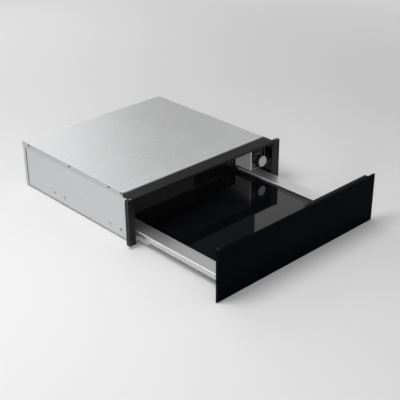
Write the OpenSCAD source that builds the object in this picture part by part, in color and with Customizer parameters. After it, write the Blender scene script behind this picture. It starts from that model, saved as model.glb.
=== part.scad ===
// Built-in warming drawer: a shallow galvanised housing behind a black front frame, with a
// push-to-open drawer on telescopic rails, a glass warming plate and a black glass front.
// X runs to the right, Y to the back and Z up. The floor is Z = 0.
// The drawer is drawn fully open, as it stands when it is loaded.

/* [Housing] */
// Width over the side panels
housing_w = 528; // [510:1:560]
// Height from the underside to the top of the cover
housing_h = 138; // [134:1:180]
// Depth behind the front plane of the frame
housing_d = 515; // [508:1:600]
// Thickness of the bent sheet
sheet_t = 1; // [0.8:0.1:1.2]
// Radius inside each bend
bend_r = 1; // [0.6:0.1:1.4]
// Height of the rubber pads below the housing
pad_h = 4; // [2:0.5:8]
// Diameter of the rubber pads
pad_d = 24; // [16:1:36]
// Distance of the pads from the sides, the front and the rear
pad_inset = 40; // [30:1:60]
// Width of the flanges inside the side panels
side_flange = 12; // [8:1:14]
// Depth of the cover's side flanges
cover_flange = 16; // [12:1:24]
// Length of rear panel that wraps round each side
rear_wrap = 13; // [10:1:30]
// Room for the blower behind the baffle
rear_room = 68; // [66:1:72]

/* [Screws] */
// Diameter of the cover screws' heads
screw_head_d = 7; // [5:0.5:8]
// Height of the cover screws' heads
screw_head_h = 2; // [1:0.1:3]
// Diameter of the cover screws' shanks
screw_d = 3.5; // [3:0.1:4]
// Length of the cover screws' shanks
screw_l = 7; // [5:0.5:10]
// Clearance round each shank
screw_clear = 0.15; // [0.1:0.05:0.3]

/* [Front frame] */
// Width of each post
post_w = 24; // [20:1:28]
// Depth of each post
post_d = 11; // [9:0.5:15]
// Height of the posts' lower ends above the housing's underside
post_rise = 4; // [1:0.5:8]
// Radius of the posts' rounded edges
post_edge_r = 2.5; // [1:0.1:3.5]
// Solid front of each post
post_front_t = 5; // [3:0.5:6]
// Wall at the outer side of each post
post_wall = 1.4; // [1:0.1:2]
// Depth of the top rail
rail_d = 48; // [40:1:60]
// Height of the top rail's front lip
rail_lip = 6; // [4:0.5:10]
// Gap between the top rail and the cover
rail_gap = 0.5; // [0.2:0.1:1]
// Diameter of the four fixing holes
mount_hole_d = 4.5; // [3.5:0.1:5]
// Distance of the fixing holes from the frame's outer edge
mount_inset = 5.5; // [5:0.1:7]
// Distance of the fixing holes from the posts' ends
mount_end = 16.75; // [12:0.25:24]

/* [Front panel] */
// Height of the glass front
front_h = 140; // [130:1:180]
// Overhang of the glass front beyond each post
front_over = 9; // [5:0.5:14]
// Height of the glass front's lower edge above the floor
front_clear = 1; // [0.5:0.5:3]
// Thickness of the glass front
front_glass_t = 6; // [4:0.5:8]
// Chamfer of the glass front's polished edges
front_chamfer = 0.8; // [0.4:0.1:1.5]
// Depth of the steel tray behind the glass
backplate_t = 14; // [10:1:20]
// Distance of the steel tray from the glass's side edges
backplate_inset = 18; // [14:1:24]
// Distance of the steel tray from the glass's upper and lower edges
backplate_edge = 4; // [2:0.5:8]
// Gap between the closed front and the frame, which a push takes up
closed_gap = 3; // [2:0.1:5]
// Diameter of the rubber buffers
buffer_d = 10; // [6:0.5:12]

/* [Drawer] */
// Travel of the drawer
drawer_travel = 313; // [200:1:330]
// Room for the push latch between the closed drawer and the baffle
latch_room = 34; // [32:1:50]
// Gap between each drawer side and the housing
side_gap = 7.5; // [5:0.1:9]
// Height of the drawer's flanges above the floor
flange_z = 41; // [40:0.5:46]
// Width of the drawer's side flanges
flange_w = 43.5; // [36:0.5:50]
// Height of the drawer's outer walls
outer_wall_h = 15; // [10:0.5:15]
// Depth of the glass plate below the flanges
glass_drop = 7; // [4:0.5:9]
// Thickness of the glass plate
plate_t = 5; // [4:0.5:6]
// Width of the ledge under the glass plate's edges
ledge_w = 8; // [6:0.5:12]
// Width of the black trim round the glass plate
trim_w = 12; // [8:0.5:16]
// Thickness of the trim
trim_t = 1; // [0.6:0.1:2]
// Depth of the flange between the front and the glass plate
front_rim_d = 14; // [10:0.5:20]
// Height of the drawer's rear wall above the glass plate
rear_wall_rise = 46; // [30:1:46]
// Clearance round the glass plate
glass_clear = 0.2; // [0.1:0.1:0.6]

/* [Telescopic rails] */
// Wall of each rail
rail_wall = 1.2; // [1:0.1:1.4]
// Running clearance between two rails
rail_clear = 0.3; // [0.2:0.05:0.4]
// Height of each fixed rail
fixed_rail_h = 10; // [9:0.1:10.5]
// Height of the fixed rails above the floor
fixed_rail_z = 13.5; // [12:0.1:14]
// Depth of each fixed rail from the side panel
fixed_rail_w = 20.5; // [16:0.5:22]
// Gap between the fixed rails and the baffle
rail_end_gap = 5; // [3:1:40]
// Width of each middle rail
middle_rail_w = 11.5; // [8:0.5:12]
// Length of the middle rails
middle_rail_l = 300; // [270:1:310]
// Length of middle rail that stands out of the frame at full travel
middle_reach = 33; // [10:1:60]

/* [Controls] */
// Width of the control box
control_w = 57; // [54:1:60]
// Height of the control box's underside above the floor
control_z = 52; // [50:1:60]
// Distance of the control box behind the frame's front plane
control_recess = 39; // [38:0.5:50]
// Depth of the control box
control_d = 200; // [150:1:240]
// Width of the bright edge beside the fascia
control_edge = 6.5; // [4:0.5:8]
// Distance of the knob's axis from the control box's left side
knob_inset = 25.5; // [24:0.5:30]
// Thickness of the fascia
fascia_t = 2.5; // [2:0.1:3]
// Diameter of the temperature knob
knob_d = 33; // [28:0.5:36]
// Length of the temperature knob
knob_l = 22.5; // [16:0.5:24]
// Thickness of the knob's metal cap
knob_cap_t = 2.5; // [1.5:0.1:4]
// Diameter of the thermostat's spindle
spindle_d = 6; // [5:0.1:7]
// Running clearance of the spindle
spindle_clear = 0.06; // [0.04:0.01:0.1]
// Width of the switch rocker
rocker_w = 11; // [9:0.5:12]
// Height of the switch rocker
rocker_h = 18; // [15:0.5:19]
// Angle that the rocker swings through
rocker_swing = 16; // [8:1:20]
// Diameter of the pilot lamp
lamp_d = 8; // [6:0.5:9]

/* [Blower and heater] */
// Diameter of the impeller
impeller_d = 44; // [40:1:46]
// Length of the impeller
impeller_l = 170; // [140:1:180]
// Number of blades
blades = 20; // [12:1:24]
// Diameter of the blower's shaft
shaft_d = 5; // [4:0.1:6]
// Clearance of the shaft in its bush
shaft_clear = 0.05; // [0.04:0.01:0.1]
// Height of the blower's shaft above the floor
blower_z = 74; // [70:1:80]
// Diameter of the tubular heater
heater_d = 6.5; // [5:0.1:8]
// Pitch of the heater's runs
heater_pitch = 15; // [12:0.5:16]
// Depth of the guard in front of the heater
guard_d = 22; // [20:0.5:23]

/* [Push latch] */
// Diameter of the latch's plunger
plunger_d = 8; // [6:0.5:10]
// Stroke of the plunger
plunger_stroke = 4; // [3:0.1:5]
// Width and height of the latch's body
latch_w = 16; // [14:0.5:22]

/* [Hidden] */

$fn = 48;
// Overrun of each cut, and the chord count of a bend
over = 1;
bend_steps = 4;

// Stations across the width, measured from the middle
half_w = housing_w / 2;
inner_x = half_w - sheet_t;
frame_w = housing_w + 2 * post_w;
front_w = frame_w + 2 * front_over;
mount_x = frame_w / 2 - mount_inset;
drawer_x = inner_x - side_gap;
flange_in_x = drawer_x - flange_w;
control_x = inner_x - control_w;

// Stations up the height, measured from the floor
top_z = pad_h + housing_h;
floor_z = pad_h + 2 * sheet_t;
under_cover_z = top_z - sheet_t;
post_z = pad_h + post_rise;
post_top_z = top_z - sheet_t / 2;
mount_z = (post_z + post_top_z) / 2;
mount_pitch = post_top_z - post_z - 2 * mount_end;
plate_z = flange_z - glass_drop;
ledge_z = plate_z - plate_t;
tray_z = fixed_rail_z + sheet_t / 2;
rear_wall_z = plate_z + rear_wall_rise;

// Stations along the depth, measured from the frame's front plane
front_t = front_glass_t + backplate_t;
open_reach = drawer_travel + closed_gap + front_t;
flange_y = post_front_t;
baffle_y = housing_d - rear_room;
cover_y = rail_d + rail_gap;
drawer_front_y = -closed_gap;
drawer_rear_y = baffle_y - latch_room;
drawer_l = drawer_rear_y - drawer_front_y;
fixed_rail_l = baffle_y - rail_end_gap - flange_y - sheet_t;
gland_collar = 4;
frame_y = (open_reach - housing_d - gland_collar) / 2;

// Rails, measured from the housing's middle
fixed_rail_x = inner_x - fixed_rail_w;
middle_rail_x = fixed_rail_x - rail_clear - rail_wall - rail_clear;
drawer_rail_x = middle_rail_x - rail_clear - rail_wall;
tray_x = drawer_rail_x;
middle_rail_h = fixed_rail_h - 2 * (rail_wall + rail_clear);

// Controls
knob_x = control_x + knob_inset;
box_lip = 2 * sheet_t;
fascia_low_z = control_z + box_lip;
fascia_top_z = under_cover_z - rail_lip;
// Room on the fascia above and below the knob and the rocker
fascia_room = fascia_top_z - fascia_low_z - knob_d - rocker_h;
below_knob_share = 0.4;
above_rocker_share = 0.3;
knob_z = fascia_low_z + below_knob_share * fascia_room + knob_d / 2;
upper_z = fascia_top_z - above_rocker_share * fascia_room - rocker_h / 2;
fascia_y = control_recess - fascia_t;
fascia_gap = 0.5;

// The direction of a vector
function unit(v) = v / norm(v);

// Twice the area that the turn from a to b sweeps, positive to the left
function turn(a, b) = a[0] * b[1] - a[1] * b[0];

// Points along one side, k = 1 left or -1 right, of a strip of thickness t bent along path,
// where every corner is a square bend with the inside radius bend_r
function strip_side(path, t, k) = [
    for (i = [0 : len(path) - 1])
        let (before = i > 0 ? unit(path[i - 1] - path[i]) : [0, 0],
            after = i < len(path) - 1 ? unit(path[i + 1] - path[i]) : [0, 0],
            ahead = i < len(path) - 1 ? after : -before)
        if (i == 0 || i == len(path) - 1)
            path[i] + k * t / 2 * [-ahead[1], ahead[0]]
        else
            let (hand = sign(turn(-before, after)), r = bend_r + t / 2,
                centre = path[i] + r * (before + after), reach = r - k * hand * t / 2)
            for (s = [0 : bend_steps])
                let (angle = 90 * s / bend_steps)
                centre - reach * (cos(angle) * after + sin(angle) * before)
];

// Section of a sheet bent along the middle line path
module strip(path, t = sheet_t) {
    left = strip_side(path, t, 1);
    right = strip_side(path, t, -1);
    polygon(concat(left, [for (i = [len(right) - 1 : -1 : 0]) right[i]]));
}

// Extrusions of an XZ, a YZ and an XY section
module along_y(y0, y1) {
    translate([0, y1, 0]) rotate([90, 0, 0]) linear_extrude(y1 - y0) children();
}

module along_x(x0, x1) {
    translate([x0, 0, 0]) rotate([90, 0, 90]) linear_extrude(x1 - x0) children();
}

module along_z(z0, z1) {
    translate([0, 0, z0]) linear_extrude(z1 - z0) children();
}

// A block between three pairs of stations
module block(x, y, z) {
    translate([x[0], y[0], z[0]]) cube([x[1] - x[0], y[1] - y[0], z[1] - z[0]]);
}

// Round bars along each axis, between two stations
module bar_x(x, y, z, d) {
    translate([x[0], y, z]) rotate([0, 90, 0]) cylinder(h = x[1] - x[0], d = d);
}

module bar_y(x, y, z, d) {
    translate([x, y[1], z]) rotate([90, 0, 0]) cylinder(h = y[1] - y[0], d = d);
}

module bar_z(x, y, z, d) {
    translate([x, y, z[0]]) cylinder(h = z[1] - z[0], d = d);
}

// A rectangle with round corners between two pairs of stations
module round_rect(u, v, r) {
    translate([u[0] + r, v[0]]) square([u[1] - u[0] - 2 * r, v[1] - v[0]]);
    translate([u[0], v[0] + r]) square([u[1] - u[0], v[1] - v[0] - 2 * r]);
    for (a = [u[0] + r, u[1] - r], b = [v[0] + r, v[1] - r]) translate([a, b]) circle(r);
}

// A slot with round ends along the first axis of its section, centred on the origin
module slot(l, w) {
    square([l - w, w], center = true);
    for (s = [-1, 1]) translate([s * (l - w) / 2, 0]) circle(d = w);
}

// Places what is measured from the frame's front plane
module framed() translate([0, frame_y, 0]) children();

// Places what is measured from the frame's front plane when the drawer is shut
module in_drawer() translate([0, frame_y - drawer_travel, 0]) children();

module left_hand() mirror([1, 0, 0]) children();

// Where the cover screws stand along each side
screw_y_shares = [0.012, 0.121, 0.501, 0.923];
screw_ys = [for (share = screw_y_shares) cover_y + share * (housing_d - cover_y)];
screw_z = top_z - screw_head_d / 2 - sheet_t;
rear_screw_inset = 36;
rear_screw_x = half_w - rear_screw_inset;

// Where the lanced tabs stand along each side
tab_y_shares = [0.125, 0.215, 0.62, 0.71];
tab_d = 9;
tab_rise = 1.2;
tab_z = fixed_rail_z + fixed_rail_h + tab_d / 3;

base_lip = 5;
bead_r = 14;
bead_rise = 1.6;
bead_shares = [-0.3, 0, 0.3];
pad_x = half_w - pad_inset;
pad_ys = [pad_inset, housing_d - pad_inset];
pad_stem_d = pad_d / 3;
pad_clip_t = 1.5;
clip_over = 2;

module base_pan() framed() color("silver") {
    z = floor_z - sheet_t / 2;
    y0 = post_d + sheet_t;
    y1 = housing_d - 2 * sheet_t;
    difference() {
        union() {
            along_x(bend_r - inner_x, inner_x - bend_r)
                strip([[y0, z + base_lip], [y0, z], [y1 - sheet_t / 2, z], [y1 - sheet_t / 2, z + base_lip]]);
            for (share = bead_shares)
                intersection() {
                    translate([share * housing_w, y0 + pad_inset, floor_z + bead_rise - bead_r])
                        rotate([-90, 0, 0]) cylinder(h = baffle_y - bead_r - y0 - pad_inset, r = bead_r);
                    block([-inner_x, inner_x], [y0, y1], [floor_z - sheet_t, top_z]);
                }
        }
        for (s = [-1, 1], y = pad_ys)
            bar_z(s * pad_x, y, [pad_h, floor_z + over], pad_stem_d + 2 * screw_clear);
    }
}

module rubber_pads() framed() color("dimgray")
    for (s = [-1, 1], y = pad_ys) {
        bar_z(s * pad_x, y, [0, pad_h + sheet_t], pad_d);
        bar_z(s * pad_x, y, [pad_h, floor_z], pad_stem_d);
        bar_z(s * pad_x, y, [floor_z, floor_z + pad_clip_t], pad_stem_d + 2 * clip_over);
    }

front_flange_x = frame_w / 2 - post_wall - screw_clear;
corner_l = 20;

// A side panel: a web with flanges inside at top and bottom, and one outside behind the post
module side_panel() {
    web_x = half_w - sheet_t / 2;
    web_y = flange_y + corner_l;
    rear_y = housing_d - 2 * sheet_t - bend_r;
    difference() {
        union() {
            along_y(web_y, rear_y)
                strip([[half_w - side_flange, pad_h + sheet_t / 2], [web_x, pad_h + sheet_t / 2],
                    [web_x, under_cover_z - sheet_t / 2], [half_w - side_flange, under_cover_z - sheet_t / 2]]);
            along_z(post_z + post_wall + screw_clear, under_cover_z - rail_lip)
                strip([[web_x, web_y + sheet_t], [web_x, flange_y + sheet_t / 2],
                    [front_flange_x, flange_y + sheet_t / 2]]);
            for (share = tab_y_shares)
                intersection() {
                    bar_x([web_x, half_w + tab_rise], share * housing_d, tab_z, tab_d);
                    block([inner_x, half_w + tab_d], [share * housing_d, rear_y], [0, top_z]);
                }
        }
        for (share = tab_y_shares)
            intersection() {
                bar_x([inner_x - over, half_w + over], share * housing_d, tab_z, tab_d);
                block([inner_x - over, half_w + over],
                    [share * housing_d - tab_d, share * housing_d - tab_rise], [0, top_z]);
            }
        for (y = screw_ys)
            bar_x([inner_x - over, half_w + over], y, screw_z, screw_d + 2 * screw_clear);
        for (s = [-1, 1])
            bar_y(mount_x, [0, post_d], mount_z + s * mount_pitch / 2, mount_hole_d);
    }
}

module left_side_panel() framed() color("gainsboro") left_hand() side_panel();

module right_side_panel() framed() color("gainsboro") side_panel();

gland_inset = 54;
gland_x = half_w - gland_inset;
gland_rise = 30;
gland_z = floor_z + gland_rise;
gland_d = 16;
vent_w = 4;
vent_l = 26;
vent_pitch = 10;
vents = 14;

module rear_panel() framed() color("gainsboro") {
    y = housing_d - sheet_t * 3 / 2;
    x = half_w + sheet_t / 2;
    difference() {
        along_z(pad_h, under_cover_z - bend_r)
            strip([[-x, y - rear_wrap], [-x, y], [x, y], [x, y - rear_wrap]]);
        for (s = [-1, 1])
            translate([s * x, 0, 0])
                block([-2 * sheet_t, 2 * sheet_t], [y - rear_wrap - over, y - sheet_t / 2],
                    [top_z - cover_flange - rail_gap, top_z]);
        bar_y(gland_x, [y - over, y + over], gland_z, gland_d);
        for (row = [0, 1], i = [0 : vents - 1])
            translate([(i - (vents - 1) / 2) * vent_pitch + (blower_x[0] + blower_x[1]) / 2, 0,
                    blower_z + (row - 1 / 2) * (vent_l + vent_w)])
                along_y(y - over, y + over) rotate(90) slot(vent_l, vent_w);
        for (s = [-1, 0, 1])
            bar_y(s * rear_screw_x, [y - over, y + over], screw_z, screw_d + 2 * screw_clear);
    }
}

module top_cover() framed() color("gainsboro") {
    x = half_w + sheet_t / 2;
    z = top_z - sheet_t / 2;
    rear_y = housing_d - sheet_t / 2;
    difference() {
        union() {
            along_y(cover_y, rear_y - bend_r - sheet_t / 2)
                strip([[-x, top_z - cover_flange], [-x, z], [x, z], [x, top_z - cover_flange]]);
            along_x(-half_w, half_w)
                strip([[rear_y - rear_wrap, z], [rear_y, z], [rear_y, top_z - cover_flange]]);
        }
        for (s = [-1, 1], y = screw_ys)
            translate([s * x, 0, 0])
                bar_x([-over, over], y, screw_z, screw_d + 2 * screw_clear);
        for (s = [-1, 0, 1])
            bar_y(s * rear_screw_x, [rear_y - over, rear_y + over], screw_z, screw_d + 2 * screw_clear);
    }
}

// A pan-head screw whose head sits on the origin and whose shank runs towards -Z
module screw(head_d, head_h, d, l) {
    difference() {
        cylinder(h = head_h, d = head_d);
        translate([0, 0, head_h / 2])
            for (angle = [0, 90])
                rotate(angle) translate([-head_d / 3, -head_d / 16, 0]) cube([head_d * 2 / 3, head_d / 8, head_h]);
    }
    translate([0, 0, -l]) cylinder(h = l, d = d);
}

module cover_screws() framed() color("lightgray") {
    for (s = [-1, 1], y = screw_ys)
        translate([s * (half_w + sheet_t), y, screw_z]) rotate([0, s * 90, 0])
            screw(screw_head_d, screw_head_h, screw_d, screw_l);
    for (s = [-1, 0, 1])
        translate([s * rear_screw_x, housing_d, screw_z]) rotate([-90, 0, 0])
            screw(screw_head_d, screw_head_h, screw_d, screw_l);
}

module top_rail() framed() color("dimgray") {
    z = top_z - sheet_t / 2;
    inside = half_w - side_flange - over;
    along_x(-half_w, half_w)
        strip([[rail_d, z], [sheet_t / 2, z], [sheet_t / 2, top_z - rail_lip]]);
    along_y(post_d + rail_gap, rail_d)
        strip([[-half_w - sheet_t / 2, top_z - rail_lip], [-half_w - sheet_t / 2, z],
            [half_w + sheet_t / 2, z], [half_w + sheet_t / 2, top_z - rail_lip]]);
    along_x(-inside, inside)
        strip([[rail_d, z], [sheet_t / 2, z], [sheet_t / 2, top_z - rail_lip + sheet_t / 2],
            [post_d, top_z - rail_lip + sheet_t / 2]]);
    along_x(-inside, control_x - over)
        strip([[rail_d - sheet_t / 2, top_z - 2 * rail_lip], [rail_d - sheet_t / 2, z], [sheet_t, z]]);
}

post_screw_x = half_w + post_w * 0.45;
post_screw_y = post_front_t / 2;

// A post: a hollow-backed moulding over the side panel's front flange
module post() {
    outer = frame_w / 2;
    difference() {
        intersection() {
            along_y(0, post_d) round_rect([half_w, outer], [post_z, post_top_z], post_edge_r);
            along_z(post_z, post_top_z) {
                round_rect([half_w, outer], [0, post_d], post_edge_r);
                translate([half_w, post_d / 2]) square([post_w, post_d / 2]);
            }
        }
        block([half_w - over, outer - post_wall], [post_front_t, post_d + over],
            [post_z + post_wall, post_top_z - rail_lip]);
        for (s = [-1, 1])
            bar_y(mount_x, [-over, post_d], mount_z + s * mount_pitch / 2, mount_hole_d);
        bar_z(post_screw_x, post_screw_y + post_d / 4, [post_top_z - screw_l - over, post_top_z + over],
            screw_d + 2 * screw_clear);
    }
}

module left_post() framed() color("dimgray") left_hand() post();

module right_post() framed() color("dimgray") post();

module frame_screws() framed() color("silver")
    for (s = [-1, 1])
        translate([s * post_screw_x, post_screw_y + post_d / 4, post_top_z])
            screw(screw_head_d * 2 / 3, screw_head_h / 2, screw_d, screw_l - over);

spindle_hole_d = spindle_d + 2 * spindle_clear;
switch_x = knob_x - rocker_w * 3 / 4;
lamp_x = knob_x + knob_d / 3 + lamp_d / 4;
box_lap = 2;

// The control box: a sheet case that hangs in the upper right corner, open at the front
module control_box() framed() color("darkgray") {
    rear_y = control_recess + control_d;
    difference() {
        union() {
            along_z(control_z, under_cover_z - sheet_t - bend_r)
                strip([[inner_x, rear_y - sheet_t / 2], [control_x + sheet_t / 2, rear_y - sheet_t / 2],
                    [control_x + sheet_t / 2, control_recess + sheet_t / 2],
                    [control_x + control_edge + box_lap, control_recess + sheet_t / 2]]);
            block([control_x + bend_r + sheet_t, inner_x], [control_recess, rear_y], [control_z, control_z + sheet_t]);
            block([control_x + bend_r + sheet_t, inner_x], [control_recess, control_recess + sheet_t],
                [control_z, control_z + box_lip + box_lap]);
        }
        bar_y(loom_x, [rear_y - over, rear_y + over], loom_z, loom_d + 2 * screw_clear);
    }
}

module control_fascia() framed() color("black")
    difference() {
        block([control_x + control_edge, inner_x - rail_gap], [fascia_y, control_recess],
            [fascia_low_z, fascia_top_z]);
        bar_y(knob_x, [0, control_recess + over], knob_z, 2 * spindle_d);
        block([switch_x - rocker_w / 2 - screw_clear * 4, switch_x + rocker_w / 2 + screw_clear * 4],
            [0, control_recess + over], [upper_z - rocker_h / 2 - screw_clear * 4, upper_z + rocker_h / 2 + screw_clear * 4]);
        bar_y(lamp_x, [0, control_recess + over], upper_z, lamp_d + 2 * screw_clear);
    }

thermostat_w = 34;
thermostat_h = 28;
thermostat_t = 22;
thermostat_y = control_recess + sheet_t;
neck_d = spindle_d * 5 / 3;
bulb_d = 5;

// The capillary thermostat: its case behind the fascia, with the neck that the spindle turns in
module thermostat() framed() color("tan")
    difference() {
        union() {
            block([knob_x - thermostat_w / 2, knob_x + thermostat_w / 2],
                [thermostat_y, thermostat_y + thermostat_t],
                [knob_z - thermostat_h / 2, knob_z + thermostat_h / 2]);
            bar_y(knob_x, [fascia_y, thermostat_y + over], knob_z, neck_d);
            block([knob_x - thermostat_w / 2, knob_x + thermostat_w / 2],
                [control_recess, thermostat_y], [knob_z - thermostat_h / 2, knob_z - neck_d / 2 - over]);
            bar_y(knob_x, [thermostat_y + thermostat_t, thermostat_y + thermostat_t + bulb_d],
                knob_z, thermostat_h * 2 / 3);
        }
        bar_y(knob_x, [0, thermostat_y + thermostat_t / 2], knob_z, spindle_hole_d);
    }

knob_y = fascia_y - fascia_gap - knob_l;
spindle_end_y = thermostat_y + thermostat_t / 2 - rail_clear;

module thermostat_spindle() framed() color("silver")
    difference() {
        bar_y(knob_x, [knob_y + knob_cap_t + over, spindle_end_y], knob_z, spindle_d);
        block([knob_x - spindle_d, knob_x + spindle_d], [0, fascia_y - fascia_gap],
            [knob_z + spindle_d / 4, knob_z + spindle_d]);
    }

// The knob: a black body on the spindle's flat, and a metal cap with a pointer groove
module temperature_knob() framed() color("black")
    difference() {
        translate([knob_x, fascia_y - fascia_gap, knob_z]) rotate([90, 0, 0])
            rotate_extrude() polygon([[0, 0], [knob_d / 2, 0], [knob_d / 2, knob_l / 4],
                [knob_d * 0.46, knob_l / 3], [knob_d * 0.46, knob_l - knob_cap_t], [0, knob_l - knob_cap_t]]);
        difference() {
            bar_y(knob_x, [knob_y + knob_cap_t + over, fascia_y], knob_z, spindle_d);
            block([knob_x - spindle_d, knob_x + spindle_d], [0, fascia_y - fascia_gap],
                [knob_z + spindle_d / 4, knob_z + spindle_d]);
        }
    }

module knob_cap() framed() color("silver")
    difference() {
        translate([knob_x, knob_y + knob_cap_t, knob_z]) rotate([90, 0, 0])
            rotate_extrude() polygon([[0, 0], [knob_d / 2, 0], [knob_d / 2, knob_cap_t * 0.6],
                [knob_d / 2 - knob_cap_t * 0.4, knob_cap_t], [0, knob_cap_t]]);
        block([knob_x - knob_d / 40, knob_x + knob_d / 40], [knob_y - over, knob_y + knob_cap_t / 3],
            [knob_z + knob_d / 4, knob_z + knob_d]);
    }

switch_depth = 20;
rocker_pivot_y = control_recess - fascia_t / 2;
rocker_pin_d = 2;
rocker_r = rocker_h * 0.9;

// The rocker switch: a case behind the fascia and a rocker on a pin across it
module switch_body() framed() color("black")
    difference() {
        block([switch_x - rocker_w / 2 - 2 * over, switch_x + rocker_w / 2 + 2 * over],
            [control_recess, control_recess + switch_depth],
            [upper_z - rocker_h / 2 - over, upper_z + rocker_h / 2 + over]);
        block([switch_x - rocker_w / 2 - rail_clear, switch_x + rocker_w / 2 + rail_clear],
            [0, control_recess + switch_depth / 2], [upper_z - rocker_h / 2, upper_z + rocker_h / 2]);
        bar_x([switch_x - rocker_w, switch_x + rocker_w], control_recess + rocker_pin_d, upper_z,
            rocker_pin_d + 2 * spindle_clear);
    }

module switch_rocker() framed() color("black") {
    translate([0, control_recess + rocker_pin_d, upper_z]) rotate([rocker_swing / 2, 0, 0])
        along_x(switch_x - rocker_w / 2, switch_x + rocker_w / 2)
            difference() {
                intersection() {
                    translate([-rocker_pin_d - fascia_t, -rocker_h * 0.42])
                        square([fascia_t + 2 * rocker_pin_d + over, rocker_h * 0.84]);
                    circle(rocker_h * 0.46);
                }
                translate([-rocker_r - rocker_pin_d - fascia_t + over, 0]) circle(rocker_r);
            }
    bar_x([switch_x - rocker_w / 2 - over, switch_x + rocker_w / 2 + over], control_recess + rocker_pin_d,
        upper_z, rocker_pin_d);
}

module pilot_lamp() framed() color("orangered") {
    bar_y(lamp_x, [fascia_y - over / 2, control_recess + switch_depth], upper_z, lamp_d);
    bar_y(lamp_x, [fascia_y - over, fascia_y], upper_z, lamp_d + over);
}

// The loom that joins the control box to the rear room along the side panel
loom_d = 7;
loom_x = inner_x - loom_d * 1.2;
loom_z = under_cover_z - 2 * side_flange;
loom_bend = 14;
terminal_inset = 90;
terminal_x = half_w - terminal_inset;
terminal_w = 46;
terminal_d = 22;
terminal_h = 26;
terminal_y = baffle_y + sheet_t + rear_room / 3;

module wiring_loom() framed() color("dimgray") {
    turn_y = terminal_y;
    y0 = control_recess + control_d - 2 * loom_bend;
    bar_y(loom_x, [y0, turn_y - loom_bend], loom_z, loom_d);
    translate([loom_x, turn_y - loom_bend, loom_z - loom_bend]) rotate([90, 0, 90])
        rotate_extrude(angle = 90) translate([loom_bend, 0]) circle(d = loom_d);
    bar_z(loom_x, turn_y, [floor_z + terminal_h / 2 + loom_bend, loom_z - loom_bend], loom_d);
    translate([loom_x - loom_bend, turn_y, floor_z + terminal_h / 2 + loom_bend]) rotate([90, 90, 0])
        rotate_extrude(angle = 90) translate([loom_bend, 0]) circle(d = loom_d);
    bar_x([terminal_x + terminal_w / 2, loom_x - loom_bend], turn_y, floor_z + terminal_h / 2, loom_d);
}

module terminal_block() framed() color("white")
    difference() {
        block([terminal_x - terminal_w / 2, terminal_x + terminal_w / 2],
            [terminal_y - terminal_d / 2, terminal_y + terminal_d / 2], [floor_z, floor_z + terminal_h]);
        for (i = [-1, 0, 1])
            bar_z(terminal_x + i * terminal_w / 4, terminal_y, [floor_z + terminal_h / 2, floor_z + terminal_h + over],
                terminal_w / 8);
    }

module cable_gland() framed() color("black")
    difference() {
        union() {
            bar_y(gland_x, [housing_d - sheet_t, housing_d + gland_collar], gland_z, gland_d + gland_collar);
            bar_y(gland_x, [housing_d - 2 * sheet_t - gland_collar, housing_d], gland_z, gland_d - 2 * screw_clear);
            bar_y(gland_x, [housing_d - 2 * sheet_t - gland_collar, housing_d - 2 * sheet_t], gland_z,
                gland_d + gland_collar);
        }
        bar_y(gland_x, [housing_d - rear_room / 2, housing_d + 2 * gland_collar], gland_z, gland_d / 2);
    }

// The blower: a crossflow impeller in a scroll behind the baffle, with its motor at the right
blower_y = baffle_y + sheet_t + rear_room / 2 - sheet_t;
scroll_gap = 5;
scroll_r = impeller_d / 2 + scroll_gap;
blower_share = -0.82;
blower_x = [blower_share * half_w, blower_share * half_w + impeller_l];
end_gap = 3;
casing_x = [blower_x[0] - end_gap - sheet_t, blower_x[1] + end_gap + sheet_t];
outlet_top_z = blower_z - impeller_d * 0.2;
outlet_low_z = blower_z - scroll_r;
guard_right_x = blower_x[1] + 3 * heater_pitch;
latch_gap = 14.6;
latch_x = guard_right_x + latch_gap + latch_w / 2;
disc_t = 1.5;
blade_t = 0.8;
blade_w = 6;
bush_d = 12;
bush_l = 8;

module rear_baffle() framed() color("silver")
    difference() {
        union() {
            block([-inner_x + rail_clear, inner_x - rail_clear], [baffle_y, baffle_y + sheet_t],
                [floor_z, under_cover_z - sheet_t - rail_clear]);
            block([-half_w + side_flange + over, half_w - side_flange - over], [baffle_y, baffle_y + sheet_t],
                [floor_z, under_cover_z]);
            block([-half_w + side_flange + over, half_w - side_flange - over], [baffle_y - base_lip, baffle_y],
                [under_cover_z - sheet_t, under_cover_z]);
        }
        translate([(blower_x[0] + blower_x[1]) / 2, 0, (outlet_top_z + outlet_low_z) / 2])
            along_y(baffle_y - over, baffle_y + sheet_t + over)
                square([impeller_l, outlet_top_z - outlet_low_z - 2 * sheet_t], center = true);
        for (side = [0, 1])
            bar_y(heater_tail_x + side * heater_pitch, [baffle_y - over, baffle_y + 2 * over],
                heater_z + (1 - side) * heater_pitch, heater_d + 2 * screw_clear);
        bar_y(loom_x, [baffle_y - over, baffle_y + 2 * over], loom_z, loom_d + 2 * screw_clear);
    }

// The scroll's section: a shell behind the impeller and an outlet duct below it
module scroll_section() {
    difference() {
        circle(scroll_r);
        circle(scroll_r - sheet_t);
        translate([-2 * scroll_r, -2 * scroll_r]) square([2 * scroll_r, 2 * scroll_r]);
        rotate(45) translate([-2 * scroll_r, 0]) square([2 * scroll_r, 2 * scroll_r]);
    }
    duct = blower_y - baffle_y - sheet_t;
    translate([-duct, -scroll_r]) square([duct, sheet_t]);
    translate([-duct, outlet_top_z - blower_z]) square([duct - impeller_d / 2 - sheet_t, sheet_t]);
}

module blower_casing() framed() color("silver") {
    along_x(casing_x[0], casing_x[1]) translate([blower_y, blower_z]) scroll_section();
    for (x = [casing_x[0], casing_x[1] - sheet_t])
        difference() {
            along_x(x, x + sheet_t)
                translate([blower_y, blower_z]) {
                    circle(scroll_r);
                    translate([baffle_y + sheet_t - blower_y, -scroll_r])
                        square([blower_y - baffle_y - sheet_t, scroll_r + impeller_d / 4]);
                }
            bar_x([x - over, x + sheet_t + over], blower_y, blower_z, bush_d + 2 * screw_clear);
        }
}

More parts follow.
